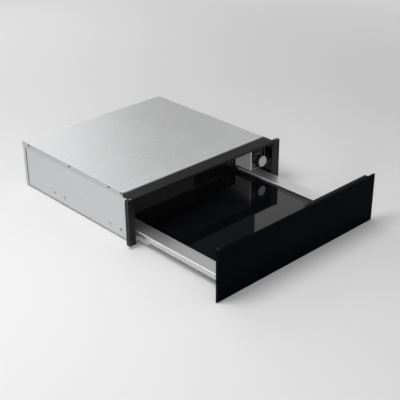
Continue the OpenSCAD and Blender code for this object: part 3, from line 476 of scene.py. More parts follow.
@dataclass(frozen=True)
class Moulding(Finish):
    """A moulded plastic or rubber: spark-eroded grain and a faint flow pattern."""

    roughness: float = 0.5
    grain_scale: float = 2600.0
    grain_depth: float = 0.01 * MM
    specular: float = 0.4
    flow: float = 30.0

    def mix(self, recipe: Recipe) -> None:
        """Fine noise for the mould's grain, and long soft noise for the flow.

        Args:
            recipe: The material's nodes.
        """
        flow = recipe.noise(self.flow, 3.0, stretch=(1, 0.4, 1))
        recipe.set(Base_Color=recipe.blend(flow, self.colour, toned(self.colour, 1.12, 0.002)),
                   Roughness=recipe.spread(flow, self.roughness - 0.04, self.roughness + 0.05),
                   Specular_IOR_Level=self.specular)
        recipe.relief(recipe.noise(self.grain_scale, 1.0), self.grain_depth)


@dataclass(frozen=True)
class BlackGlass(Finish):
    """Opaque black glass: a deep tone under a polished face with a trace of dust."""

    roughness: float = 0.02
    specular: float = 0.5
    dust: float = 0.02
    pale: tuple[float, float] = (1.25, 0.0005)

    @staticmethod
    def film(recipe: Recipe) -> Socket:
        """Broad noise: what cleaning leaves on the face."""
        return recipe.noise(7.0, 5.0, 0.7)

    def mix(self, recipe: Recipe) -> None:
        """The film adds a little roughness and barely moves the tone.

        Args:
            recipe: The material's nodes.
        """
        lifted = recipe.sharpen(self.film(recipe), 0.45, 0.85)
        recipe.set(Base_Color=recipe.blend(lifted, self.colour, toned(self.colour, *self.pale)),
                   Roughness=recipe.spread(lifted, self.roughness, self.roughness + self.dust),
                   Specular_IOR_Level=self.specular, IOR=1.5)


@dataclass(frozen=True)
class RubbedEnamel(BlackGlass):
    """Black gloss enamel that is rubbed matt beyond two lines across X."""

    matt_below: float = -10.0
    matt_above: float = 10.0

    def mix(self, recipe: Recipe) -> None:
        """Sharp steps of X raise the roughness at both ends.

        Args:
            recipe: The material's nodes.
        """
        super().mix(recipe)
        x = recipe.part(0, recipe.coords)
        ends = recipe.math("MAXIMUM", recipe.step(x, self.matt_below, -2 * MM), recipe.step(x, self.matt_above, 4 * MM))
        recipe.set(Roughness=recipe.blend(ends, recipe.source("Roughness"), recipe.spread(ends, 0.0, 1.0)))


@dataclass(frozen=True)
class EdgedGlass(BlackGlass):
    """Black glass with ground edges: the lower one bare and pale, partly its own ground grey and partly a painted
    highlight of the floor's light, the others inked like the glass's back.
    """

    pale: tuple[float, float] = (1.2, 0.0003)
    edge: Colour = (0.1, 0.1, 0.1)
    upper_edge: Colour = (0.009, 0.009, 0.0095)

    def mix(self, recipe: Recipe) -> None:
        """The mask of slanted faces mixes the ground edge's tone and roughness into the polished glass.

        Args:
            recipe: The material's nodes.
        """
        super().mix(recipe)
        ground = recipe.slanted()
        # The downward-looking edge gets the pale tone: partly the ground edge's own grey, partly a painted highlight.
        below = recipe.sharpen(recipe.part(2, recipe.normal), -0.3, -0.6)
        edge = recipe.blend(below, self.upper_edge, self.edge)
        frosted = recipe.spread(self.film(recipe), 0.3, 0.4)
        recipe.set(Base_Color=recipe.blend(ground, recipe.source("Base Color"), edge),
                   Roughness=recipe.blend(ground, recipe.source("Roughness"), frosted))


@dataclass(frozen=True)
class SpunMetal(Finish):
    """Turned or spun metal: fine rings round an axis along Y."""

    roughness: float = 0.28
    centre: Colour = (0.0, 0.0, 0.0)
    rings: float = 4200.0
    scratches: float = 500.0
    depth: float = 0.004 * MM

    def mix(self, recipe: Recipe) -> None:
        """The distance from the axis, sine-waved and broken by noise, drives tone and relief.

        Args:
            recipe: The material's nodes.
        """
        flat = recipe.vector("MULTIPLY", recipe.vector("SUBTRACT", recipe.coords, self.centre), (1, 0, 1))
        wave = recipe.math("SINE", recipe.math("MULTIPLY", recipe.vector("LENGTH", flat), self.rings))
        ring = recipe.weigh(recipe.spread(wave, 0.3, 0.6), 1.0, recipe.noise(self.scratches, 3.0), 0.4)
        recipe.set(Base_Color=recipe.blend(ring, toned(self.colour, 0.9), self.colour), Metallic=1.0,
                   Roughness=recipe.spread(ring, self.roughness - 0.05, self.roughness + 0.1))
        recipe.relief(ring, self.depth)


@dataclass(frozen=True)
class CastOrOxide(Finish):
    """An oxidised or cast surface: blotched tone, coarse relief and mixed sheen."""

    second: Colour
    roughness: float = 0.5
    metallic: float = 0.8
    scale: float = 220.0
    depth: float = 0.02 * MM

    def mix(self, recipe: Recipe) -> None:
        """Two noises mix the tones, and the finer one gives the relief.

        Args:
            recipe: The material's nodes.
        """
        blotch = recipe.noise(self.scale / 4, 5.0, 0.65)
        recipe.set(Base_Color=recipe.blend(recipe.sharpen(blotch, 0.3, 0.7), self.colour, self.second),
                   Roughness=recipe.spread(blotch, self.roughness - 0.12, self.roughness + 0.12),
                   Metallic=self.metallic)
        recipe.relief(recipe.noise(self.scale * 4, 3.0), self.depth)


@dataclass(frozen=True)
class Layered(Finish):
    """A stack of punched laminations seen on edge, along X."""

    pitch: float = 0.7 * MM
    roughness: float = 0.45
    depth: float = 0.1 * MM

    def mix(self, recipe: Recipe) -> None:
        """A sine along X gives the sheets' edges.

        Args:
            recipe: The material's nodes.
        """
        turns = recipe.math("MULTIPLY", recipe.part(0, recipe.coords), 2 * math.pi / self.pitch)
        band = recipe.sharpen(recipe.math("SINE", turns), -1.0, 1.0)
        recipe.set(Base_Color=recipe.blend(band, toned(self.colour, 0.55), self.colour), Metallic=0.8,
                   Roughness=self.roughness)
        recipe.relief(band, self.depth)


@dataclass(frozen=True)
class Lens(Finish):
    """A translucent coloured lens with a moulded grain inside."""

    grain_scale: float = 400.0

    def mix(self, recipe: Recipe) -> None:
        """Noise varies the depth of colour."""
        recipe.set(Base_Color=recipe.blend(recipe.noise(self.grain_scale), toned(self.colour, 0.6), self.colour),
                   Roughness=0.12, Subsurface_Weight=0.3, Coat_Weight=0.6)


# ---------------------------------------------------------------- the finishes


# The cover's sides are painted darker than its top: painted shade.
ZINC_TOP = FoldedSheet("zinc_cover", (0.66, 0.663, 0.67), contrast=0.09)
ZINC_PANEL = LinedPanel("zinc_side_panel", (0.64, 0.643, 0.65))
ZINC_REAR = ZincSheet("zinc_rear", (0.62, 0.624, 0.633), grain=Grain.ALONG_X)
ZINC_INSIDE = ZincSheet("zinc_inside", (0.50, 0.505, 0.515), roughness=0.3, metallic=0.9)
ZINC_PAN = ZincSheet("zinc_pan", (0.17, 0.172, 0.176), roughness=0.45, metallic=0.5)
# Near-black for the baffle, and for the blower casing and heater guard behind it as painted shade.
BAFFLE_BLACK_AND_PAINTED_SHADE = PowderCoat("black_baffle_and_painted_shade", (0.002, 0.002, 0.0022), roughness=0.6, specular=0.02)
# The drawer sides' sheet: a painted highlight on its bends and painted shade on its upright walls.
STEEL_FLANGE = BentSteel("satin_along_drawer", (0.81, 0.81, 0.815), roughness=0.32, lines=2400.0,
                         anisotropy=0.15, contrast=0.03, metallic=0.88)
STEEL_RIM = BrushedSteel("satin_across_drawer", (0.70, 0.70, 0.705), roughness=0.36, grain=Grain.ALONG_X,
                         lines=2400.0, anisotropy=0.15, contrast=0.03)
RAIL_STEEL = BrushedSteel("rolled_rail", (0.84, 0.85, 0.86), roughness=0.3, lines=1800.0, contrast=0.04,
                          metallic=0.35)
BRIGHT_ZINC = BrushedSteel("bright_zinc", (0.55, 0.55, 0.56), roughness=0.2, grain=Grain.NONE, lines=900.0)
# The cover's hems: near-white as a painted highlight.
HEM_PAINTED_HIGHLIGHT = BrushedSteel("hem_painted_highlight", (0.92, 0.92, 0.925), roughness=0.3, lines=1500.0, metallic=0.3)
BEAD_STEEL = BrushedSteel("bead_steel", (0.60, 0.60, 0.605), roughness=0.3, lines=1500.0, metallic=0.6)
# The control box's front lip: near-white as a painted highlight.
LIP_PAINTED_HIGHLIGHT = BrushedSteel("lip_painted_highlight", (0.97, 0.97, 0.975), roughness=0.3, lines=1500.0, metallic=0.2,
                          grain=Grain.ALONG_Z)
SCREW_DARK = BrushedSteel("blued_screw", (0.22, 0.22, 0.23), roughness=0.3, grain=Grain.NONE, lines=900.0)
BOX_SHEET = ZincSheet("box_enamel", (0.66, 0.663, 0.67), roughness=0.4, metallic=0.1, contrast=0.03)
# The rail's edge tone, darker than its coat, is painted shade along its lower front edge; the pale band at its rear is
# a painted highlight where it meets the cover.
BLACK_RAIL = EdgedCoat("black_enamel", (0.006, 0.006, 0.0063), roughness=0.42, specular=0.19,
                       edge=(0.003, 0.003, 0.003), painted_highlight_from=-0.0495)
BLACK_CLIP = Moulding("black_clip", (0.008, 0.008, 0.0083), roughness=0.45, specular=0.26)
INNER_PANEL = BlackGlass("black_gloss_enamel", (0.0025, 0.0025, 0.0028), roughness=0.0, specular=0.40, dust=0.002)
BLACK_TRAY = RubbedEnamel("rubbed_gloss_enamel", INNER_PANEL.colour, roughness=0.0, specular=0.40, dust=0.002,
                          matt_below=-0.2765, matt_above=0.022)
# The drawer's rear wall: its right part is painted darker, painted shade.
REAR_WALL_WITH_PAINTED_SHADE = PaintedShadeCoat("rear_wall_with_painted_shade", (0.018, 0.018, 0.0185), roughness=0.4, beyond=(0.001, 0.001, 0.0012),
                      specular=0.18, split=0.034)
# The post's edge tone, lighter than its coat, is a painted highlight on its arrises.
BLACK_POST = EdgedCoat("black_post", (0.006, 0.006, 0.0063), roughness=0.42, specular=0.2,
                       edge=(0.08, 0.08, 0.083))
GLOSS_FASCIA = Moulding("glossy_fascia", (0.005, 0.005, 0.006), roughness=0.12, grain_depth=0.000002, specular=0.5)
KNOB_BLACK = Moulding("knob_black", (0.012, 0.012, 0.013), roughness=0.35)
# Dark strips by the rear panel's wraps: a painted shadow of the gap there.
PAINTED_SHADOW_GAP = Moulding("painted_shadow_gap", (0.05, 0.05, 0.051), roughness=0.7, specular=0.2)
RUBBER = Moulding("rubber", (0.025, 0.025, 0.026), roughness=0.75, specular=0.25)
SLEEVE = Moulding("loom_sleeve", (0.02, 0.02, 0.022), roughness=0.45, grain_scale=900.0, grain_depth=0.00004)
WHITE_MOULD = Moulding("white_moulding", (0.72, 0.72, 0.69), roughness=0.35)
WHITE_INK = Moulding("white_ink", (0.70, 0.70, 0.70), roughness=0.5)
BROWN_MOULD = Moulding("brown_moulding", (0.09, 0.035, 0.016), roughness=0.3)
GREY_MOULD = Moulding("grey_moulding", (0.05, 0.05, 0.052), roughness=0.4)
# The front glass's pale lower edge is partly a painted highlight.
FRONT_GLASS = EdgedGlass("front_black_glass", (0.0008, 0.0012, 0.0024), specular=0.013, edge=(0.10, 0.104, 0.11))
PLATE_GLASS = BlackGlass("plate_black_glass", (0.0032, 0.0036, 0.0046), roughness=0.0, specular=0.40, dust=0.002)
GLASS_BORDER = BlackGlass("glass_border", (0.0022, 0.0024, 0.003), roughness=0.03, specular=0.36)
GROUND_EDGE = Moulding("ground_glass_edge", (0.05, 0.052, 0.055), roughness=0.3, grain_depth=0.000004)
SPUN_CAP = SpunMetal("spun_cap", (0.50, 0.50, 0.505))
TURNED_STEEL = SpunMetal("turned_steel", (0.66, 0.66, 0.66), roughness=0.22)
BRONZE = CastOrOxide("sintered_bronze", (0.42, 0.26, 0.1), (0.5, 0.33, 0.14), roughness=0.4)
SHEATH = CastOrOxide("heater_sheath", (0.16, 0.15, 0.14), (0.24, 0.2, 0.17), roughness=0.45)
CASE_STEEL = CastOrOxide("thermostat_case", (0.5, 0.48, 0.42), (0.58, 0.55, 0.48), roughness=0.32)
STACK = Layered("motor_stack", (0.16, 0.16, 0.17))
BLADES = BrushedSteel("blade_aluminium", (0.6, 0.61, 0.62), roughness=0.3, grain=Grain.ALONG_X)
SMOKED = Lens("smoked_lens", (0.09, 0.02, 0.012))


# ---------------------------------------------------------------- shapes


def placed(name: str, data: bpy.types.ID) -> bpy.types.Object:
    """Puts new data into the scene.

    Args:
        name: The object's name.
        data: A mesh, a lamp or a camera.

    Returns:
        The object that shows it.
    """
    made = bpy.data.objects.new(name, data)
    bpy.context.scene.collection.objects.link(made)
    return made


@dataclass
class Shape:
    """Surfaces gathered as arrays before they become one mesh."""

    points: list[np.ndarray] = field(default_factory=list)
    corners: list[np.ndarray] = field(default_factory=list)
    sizes: list[np.ndarray] = field(default_factory=list)
    count: int = 0

    def add(self, points: np.ndarray, faces: Sequence[np.ndarray]) -> None:
        """Adds vertices and faces.

        Args:
            points: The vertices, as an array whose last axis is X, Y and Z.
            faces: Blocks of faces, each an array with one row of vertex numbers per face.
        """
        flat = np.asarray(points, float).reshape(-1, 3)
        for block in faces:
            if len(block):
                self.corners.append((block + self.count).ravel())
                self.sizes.append(np.full(len(block), block.shape[1]))
        self.points.append(flat)
        self.count += len(flat)

    def add_grid(self, grid: np.ndarray, caps: bool = True) -> None:
        """Adds a surface of two parameters whose rows are closed rings.

        Args:
            grid: Points of shape (rows, steps, 3).
            caps: Whether the first and last rings are closed with a fan to their centre.
        """
        rows, steps = grid.shape[:2]
        index = np.arange(rows * steps).reshape(rows, steps)
        across = np.roll(index, -1, axis=1)
        quads = np.stack([index[:-1], across[:-1], across[1:], index[1:]], axis=-1).reshape(-1, 4)
        points, fans = grid.reshape(-1, 3), []
        if caps:
            points = np.concatenate([points, grid[[0, -1]].mean(axis=1)])
            first, last = index[0], index[-1]
            fans = [np.stack([np.roll(first, -1), first, np.full(steps, rows * steps)], axis=-1),
                    np.stack([last, np.roll(last, -1), np.full(steps, rows * steps + 1)], axis=-1)]
        self.add(points, [quads, *fans])

    def add_strip(self, line: np.ndarray, thick: float, radius: float, ends: Sequence[float]) -> None:
        """Adds a bent sheet that runs along Y.

        The corners of the line are rounded with arcs, the line is moved half the thickness to each
        side along its normal, and the closed outline is carried from one end to the other.

        Args:
            line: Corners of the sheet's middle line, as rows of X and Z.
            thick: The sheet's thickness.
            radius: The bend radius of the middle line.
            ends: Where it starts and stops along Y, with any stations between.
        """
        middle, normal = rounded(line, radius)
        outline = np.concatenate([middle + normal * thick / 2, (middle - normal * thick / 2)[::-1]])
        stations = np.asarray(ends, float)
        grid = np.stack(np.broadcast_arrays(outline[None, :, 0], stations[:, None], outline[None, :, 1]), axis=-1)
        self.add_grid(grid, caps=False)
        near = np.arange(len(middle) - 1)
        far = 2 * len(middle) - 1 - near
        for at, flip in ((0, 1), (len(stations) - 1, -1)):
            cap = np.stack([near, near + 1, far - 1, far], axis=-1)[:, ::flip]
            self.add(grid[at], [cap])

    def mesh(self, name: str, finish: Finish, smooth: float = 35.0) -> bpy.types.Object:
        """Makes the object.

        Args:
            name: The object's name.
            finish: What it wears.
            smooth: The angle in degrees up to which edges are smoothed.

        Returns:
            The object, with outward faces.
        """
        points = np.concatenate(self.points)
        corners = np.concatenate(self.corners).astype(np.int32)
        sizes = np.concatenate(self.sizes).astype(np.int32)
        starts = np.concatenate([[0], np.cumsum(sizes)[:-1]]).astype(np.int32)
        data = bpy.data.meshes.new(name)
        data.vertices.add(len(points))
        data.vertices.foreach_set("co", points.astype(np.float32).ravel())
        data.loops.add(len(corners))
        data.loops.foreach_set("vertex_index", corners)
        data.polygons.add(len(sizes))
        data.polygons.foreach_set("loop_start", starts)
        data.update(calc_edges=True)
        data.validate()
        work = bmesh.new()
        work.from_mesh(data)
        bmesh.ops.remove_doubles(work, verts=work.verts, dist=1e-7)
        bmesh.ops.recalc_face_normals(work, faces=work.faces)
        work.to_mesh(data)
        work.free()
        data.polygons.foreach_set("use_smooth", np.ones(len(data.polygons), dtype=bool))
        data.set_sharp_from_angle(angle=math.radians(smooth))
        data.materials.append(finish.build())
        return placed(name, data)


def rounded(line: np.ndarray, radius: float, steps: int = 6) -> tuple[np.ndarray, np.ndarray]:
    """Rounds the inner corners of an open line.

    At a corner between unit directions a and b that turn by t, the arc starts radius * tan(t / 2)
    before the corner, and its points are start + radius * (sin s * a + (1 - cos s) * n) for s from 0
    to t, with n square to a on the inner side.

    Args:
        line: The corners, as rows of two coordinates.
        radius: The arcs' radius.
        steps: Points on each arc.

    Returns:
        The points, and the unit normals on the line's left side.
    """
    legs = np.diff(np.asarray(line, float), axis=0)
    legs /= np.linalg.norm(legs, axis=1, keepdims=True)
    a, b = legs[:-1], legs[1:]
    turn = np.arctan2(a[:, 0] * b[:, 1] - a[:, 1] * b[:, 0], (a * b).sum(axis=1))
    inner = np.stack([-a[:, 1], a[:, 0]], axis=1) * np.sign(turn)[:, None]
    start = np.asarray(line, float)[1:-1] - a * (radius * np.tan(np.abs(turn) / 2))[:, None]
    s = (np.abs(turn)[:, None] * np.linspace(0, 1, steps))[..., None]
    arcs = start[:, None] + radius * (np.sin(s) * a[:, None] + (1 - np.cos(s)) * inner[:, None])
    heads = np.cos(s) * a[:, None] + np.sin(s) * inner[:, None]
    points = np.concatenate([line[:1], arcs.reshape(-1, 2), line[-1:]])
    along = np.concatenate([legs[:1], heads.reshape(-1, 2), legs[-1:]])
    return points, np.stack([-along[:, 1], along[:, 0]], axis=1)


Field = Callable[[np.ndarray, np.ndarray], np.ndarray]


def turned(profile: Sequence[Sequence[float]], base: Sequence[float], axis: Axis, steps: int = 64,
           ripple: Optional[Field] = None, lift: Optional[Field] = None) -> np.ndarray:
    """Turns a profile round an axis: each row is a circle of the profile's radius.

    Args:
        profile: Rows of radius and height.
        base: The point at height zero.
        axis: The direction of the height.
        steps: Points round each circle.
        ripple: Scales the radius, from the angle and the radius of the row.
        lift: Adds to the height, from the angle and the radius of the row.

    Returns:
        The grid of points.
    """
    rows = np.asarray(profile, float)
    angle = np.linspace(0, 2 * np.pi, steps, endpoint=False)[None, :]
    radius, height = rows[:, :1] + 0 * angle, rows[:, 1:2] + 0 * angle
    reach = radius * (ripple(angle, radius) if ripple else 1.0)
    height = height + (lift(angle, radius) if lift else 0.0)
    along = np.array(axis.value)
    side = np.array([0.0, 0.0, 1.0]) if abs(along[2]) < 0.5 else np.array([1.0, 0.0, 0.0])
    other = np.cross(along, side)
    ring = side * np.cos(angle)[..., None] + other * np.sin(angle)[..., None]
    return np.array(base) + reach[..., None] * ring + height[..., None] * along


def upright(xs: Sequence[float], ys: Sequence[float], zs: Sequence[float], radius: float) -> np.ndarray:
    """Makes an upright bar with a rounded section and softened ends.

    The section is a superellipse of the sixth power, which draws in by the radius towards both ends
    with the eighth power of the height's share.

    Args:
        xs: Its reach along X.
        ys: Its reach along Y.
        zs: Its reach along Z.
        radius: How far the ends draw in.

    Returns:
        The grid of points.
    """
    a = np.linspace(0, 2 * np.pi, 32, endpoint=False)[None, :]
    share = radius * 0.3 * np.abs(np.linspace(-1, 1, 9))[:, None] ** 8
    u = np.sign(np.cos(a)) * np.abs(np.cos(a)) ** (1 / 3) * ((xs[1] - xs[0]) / 2 - share)
    v = np.sign(np.sin(a)) * np.abs(np.sin(a)) ** (1 / 3) * ((ys[1] - ys[0]) / 2 - share)
    z = np.linspace(zs[0], zs[1], 9)[:, None] + 0 * a
    return np.stack([(xs[0] + xs[1]) / 2 + u, (ys[0] + ys[1]) / 2 + v, z], axis=-1)


def tube(path: np.ndarray, radius: np.ndarray | float, steps: int = 20) -> np.ndarray:
    """Carries a circle along a path.

    The tangent is the path's gradient, the first side vector is tangent x (1, 1, 1) made unit and the
    second is tangent x first. The path never runs along (1, 1, 1), so the ring never collapses.

    Args:
        path: Points of shape (rows, 3).
        radius: One radius, or one for each row.
        steps: Points round the circle.

    Returns:
        The grid of points.
    """
    tangent = np.gradient(path, axis=0)
    tangent /= np.linalg.norm(tangent, axis=1, keepdims=True)
    first = np.cross(tangent, np.ones(3))
    first /= np.linalg.norm(first, axis=1, keepdims=True)
    second = np.cross(tangent, first)
    angle = np.linspace(0, 2 * np.pi, steps, endpoint=False)[None, :, None]
    reach = np.broadcast_to(np.asarray(radius, float), (len(path),))[:, None, None]
    return path[:, None] + reach * (np.cos(angle) * first[:, None] + np.sin(angle) * second[:, None])


def evenly(path: np.ndarray, step: float) -> np.ndarray:
    """Places points at even steps of arc length along a line.

    Args:
        path: The line's points, of shape (rows, 3).
        step: About how far apart the points are.

    Returns:
        Points of the same kind.
    """
    gone = np.concatenate([[0.0], np.cumsum(np.linalg.norm(np.diff(path, axis=0), axis=1))])
    at = np.linspace(0, gone[-1], max(3, int(gone[-1] / step)))
    return np.stack([np.interp(at, gone, path[:, i]) for i in range(3)], axis=1)


def routed(corners: Sequence[Sequence[float]], radius: float, step: float) -> np.ndarray:
    """Rounds the corners of a route in space.

    At a corner between unit directions a and b at right angles, the arc's points are
    corner - radius * a + radius * (sin s * a + (1 - cos s) * b) for s from 0 to a quarter turn.

    Args:
        corners: The route's corners, each turn a right angle.
        radius: The bends' radius.
        step: The distance between points.

    Returns:
        Points of shape (rows, 3).
    """
    line = np.asarray(corners, float)
    legs = np.diff(line, axis=0)
    legs /= np.linalg.norm(legs, axis=1, keepdims=True)
    s = np.linspace(0, np.pi / 2, 16)[None, :, None]
    a, b = legs[:-1, None], legs[1:, None]
    arcs = line[1:-1, None] - radius * a + radius * (np.sin(s) * a + (1 - np.cos(s)) * b)
    return evenly(np.concatenate([line[:1], arcs.reshape(-1, 3), line[-1:]]), step)


# ---------------------------------------------------------------- the sub-assemblies


def centred(node: str, y: float) -> tuple[float, float, float]:
    """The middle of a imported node's box across X and Z, at a given Y."""
    low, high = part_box(node)
    return (low.x + high.x) / 2, y, (low.z + high.z) / 2


def four_corners(node: str, radius: float) -> Iterator[tuple[float, float]]:
    """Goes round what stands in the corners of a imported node's box.

    Args:
        node: The node.
        radius: The radius of what stands there.

    Yields:
        X and Z of each middle.
    """
    low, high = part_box(node)
    for x in (low.x + radius, high.x - radius):
        for z in (low.z + radius, high.z - radius):
            yield x, z


@dataclass
class Assembly:
    """What every sub-assembly shares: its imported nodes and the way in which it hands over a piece."""

    nodes: dict[str, bpy.types.Object]

    def dress(self, finishes: dict[Finish, str]) -> None:
        """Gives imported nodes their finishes.

        Args:
            finishes: For each finish, the names of the nodes that wear it.
        """
        for finish, names in finishes.items():
            for name in names.split():
                data = self.nodes[name].data
                data.materials.clear()
                data.materials.append(finish.build())
        log.info("%s: dressed", type(self).__name__)

    def make(self, name: str, finish: Finish, grids: Iterable[np.ndarray], body: str, *stands_for: str,
             caps: bool = True) -> None:
        """Makes a piece of grids and hands it over.

        Args:
            name: The piece's name.
            finish: What it wears.
            grids: Its surfaces.
            body: The body that it rides on.
            *stands_for: The nodes that it replaces.
            caps: Whether the surfaces' ends are closed.
        """
        shape = Shape()
        for grid in grids:
            shape.add_grid(grid, caps)
        self.hand_over(shape.mesh(name, finish), body, *stands_for)

    def hand_over(self, piece: bpy.types.Object, body: str, *stands_for: str) -> None:
        """Lets a piece ride on its body.

        Args:
            piece: The piece.
            body: The body's name.
            *stands_for: The nodes that it replaces.
        """
        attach(piece, body)
        if stands_for:
            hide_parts(*stands_for)
        log.info("%s: %s, %d faces", type(self).__name__, piece.name, len(piece.data.polygons))


@dataclass(frozen=True)
class Screw:
    """A domed screw with a cross recess."""

    head: float = 7.0 * MM
    rise: float = 2.0 * MM
    shank: float = 3.5 * MM
    length: float = 7.0 * MM

    def grid(self, base: Sequence[float], axis: Axis) -> np.ndarray:
        """The dome falls with the square of the radius, and two crossing slots are sunk into it.

        Args:
            base: The middle of the face under the head.
            axis: The direction that the head looks in.

        Returns:
            The grid of points from the head's middle to the tip.
        """
        r, h, core = self.head / 2, self.rise, self.shank / 2
        share = np.array([0.02, 0.1, 0.2, 0.3, 0.4, 0.46, 0.5, 0.56, 0.7, 0.85, 0.95, 1.0])
        top = np.stack([r * share, h * (0.98 - 0.42 * share ** 2.4)], axis=1)
        thread = np.linspace(0, -(self.length - core), 15)[1:]
        crest = core * np.where(np.arange(14) % 2, 1.0, 0.82)
        below = np.concatenate([[[r, h * 0.16], [r * 0.94, 0.0], [core, 0.0]],
                                np.stack([crest, thread], axis=1), [[core * 0.1, -self.length]]])
        slot, reach, soft = r * 0.13, r * 0.5, r * 0.07

        def cross(angle: np.ndarray, radius: np.ndarray) -> np.ndarray:
            """Sinks two slots at right angles by most of the head's height.

            Args:
                angle: The angle round the axis.
                radius: The row's radius.

            Returns:
                What is added to the height.
            """
            across = np.minimum(np.abs(radius * np.cos(angle)), np.abs(radius * np.sin(angle)))
            inside = np.clip((slot - across) / soft + 0.5, 0, 1) * np.clip((reach - radius) / soft + 0.5, 0, 1)
            return -h * 0.55 * inside * (np.arange(len(radius)) < len(top))[:, None]

        return turned(np.concatenate([top, below]), base, axis, 48, lift=cross)


@dataclass
class Housing(Assembly):
    """The sheet housing with its frame, screws and feet."""

    stations: tuple[float, ...] = (-37.402 * MM, 13.447 * MM, 190.716 * MM, 387.579 * MM)
    side_x: float = 265.0 * MM
    screw_z: float = 137.5 * MM
    rear_xs: tuple[float, ...] = (-228.0 * MM, 0.0, 228.0 * MM)
    rear_y: float = 423.5 * MM
    frame_at: tuple[float, float, float] = (274.8 * MM, -86.25 * MM, 141.5 * MM)
    foot_x: float = 224.0 * MM
    foot_ys: tuple[float, ...] = (-51.5 * MM, 383.5 * MM)
    foot_radius: float = 12.0 * MM
    # Where the strips of painted shadow stand.
    shadow_gap_xs: tuple[float, float] = (263.6 * MM, 264.85 * MM)
    shadow_gap_ys: tuple[float, float] = (406.4 * MM, 410.4 * MM)
    shadow_gap_zs: tuple[float, float] = (8.0 * MM, 131.0 * MM)
    hem_radius: float = 0.75 * MM
    hem_drop: float = 0.4 * MM
    front_hem: tuple[float, float] = (0.5 * MM, 258.0 * MM)
    rear_hem: tuple[float, float] = (-1.2 * MM, 262.0 * MM)
    cap_drop: float = 11.5 * MM
    cap_thick: float = 0.7 * MM
    cap_bend: float = 0.8 * MM
    cap_lip: float = 5.0 * MM
    cap_start: float = 11.3 * MM

    def fix(self) -> None:
        """Makes the cover's screws and the two screws on top of the frame."""
        screw = Screw()
        grids = [screw.grid((sign * self.side_x, y, self.screw_z), axis)
                 for sign, axis in ((-1, Axis.X_NEG), (1, Axis.X_POS)) for y in self.stations]
        grids += [screw.grid((x, self.rear_y, self.screw_z), Axis.Y_POS) for x in self.rear_xs]
        self.make("cover_screw_set", SCREW_DARK, grids, "housing", "cover_screws")
        small = Screw(head=4.67 * MM, rise=1.0 * MM, shank=3.0 * MM, length=6.0 * MM)
        x, y, z = self.frame_at
        self.make("frame_screw_pair", BRIGHT_ZINC, [small.grid((side, y, z), Axis.Z_POS) for side in (-x, x)],
                  "housing", "frame_screws")

    def stand(self) -> None:
        """Makes the rubber feet: a ribbed disc with a stem and a snap collar above the pan."""
        low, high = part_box("rubber_pads")
        rise = (high.z - low.z) / MM
        profile = np.array([[0.55, 0.5], [0.62, 0.0], [0.9, 0.0], [0.97, 0.35], [1, 1.0], [1, 1.5], [0.965, 1.8],
                            [0.965, 2.2], [1, 2.5], [1, 3.4], [0.96, 4.0], [0.36, 4.0], [0.36, rise - 1.2],
                            [0.46, rise - 1.0], [0.36, rise]]) * (self.foot_radius, MM)
        grids = [turned(profile, (x, y, low.z), Axis.Z_POS, 48)
                 for x in (-self.foot_x, self.foot_x) for y in self.foot_ys]
        self.make("ribbed_feet", RUBBER, grids, "housing", "rubber_pads")

    def paint_shadow_gaps(self) -> None:
        """Makes thin dark strips in front of the edges that the rear panel wraps round the sides: a painted shadow of
        the gap there.
        """
        grids = [upright(sorted(sign * x for x in self.shadow_gap_xs), self.shadow_gap_ys, self.shadow_gap_zs, 0.5 * MM)
                 for sign in (-1, 1)]
        self.make("wrap_painted_shadow_gaps", PAINTED_SHADOW_GAP, grids, "housing")

    def hem(self) -> None:
        """Makes the folded hems along the cover's front and rear edges: thin tubes along X, painted near-white as a
        painted highlight on the cover's edges.
        """
        high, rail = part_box("top_cover")[1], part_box("top_rail")[1]
        z, grids = high.z - self.hem_drop, []
        for edge, (beyond, reach) in ((rail.y, self.front_hem), (high.y, self.rear_hem)):
            path = evenly(np.array([[-reach, edge + beyond, z], [reach, edge + beyond, z]]), 8 * MM)
            grids.append(tube(path, self.hem_radius, 12))
        self.make("cover_hems", HEM_PAINTED_HIGHLIGHT, grids, "housing")

    def cap_rail(self) -> None:
        """Makes the rail's end caps: a bent clip that reaches down each side behind the post."""
        low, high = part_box("top_rail")
        shape, x, top = Shape(), high.x + self.cap_thick * 0.45, high.z - self.cap_thick * 0.9
        for sign in (-1, 1):
            line = np.array([[sign * x, top - self.cap_drop], [sign * x, top], [sign * (x - self.cap_lip), top]])
            ends = [low.y + self.cap_start, low.y + 20 * MM, high.y - 0.3 * MM]
            shape.add_strip(line, self.cap_thick, self.cap_bend, ends)
        self.hand_over(shape.mesh("rail_end_caps", BLACK_CLIP), "housing")

    def build(self) -> None:
        """Dresses the housing and adds its small pieces."""
        self.dress({ZINC_PAN: "base_pan", ZINC_PANEL: "left_side_panel right_side_panel", ZINC_REAR: "rear_panel",
                    ZINC_TOP: "top_cover", SCREW_DARK: "cover_screws frame_screws", RUBBER: "rubber_pads",
                    BLACK_RAIL: "top_rail", BLACK_POST: "left_post right_post"})
        self.fix()
        self.stand()
        self.paint_shadow_gaps()
        self.hem()
        self.cap_rail()


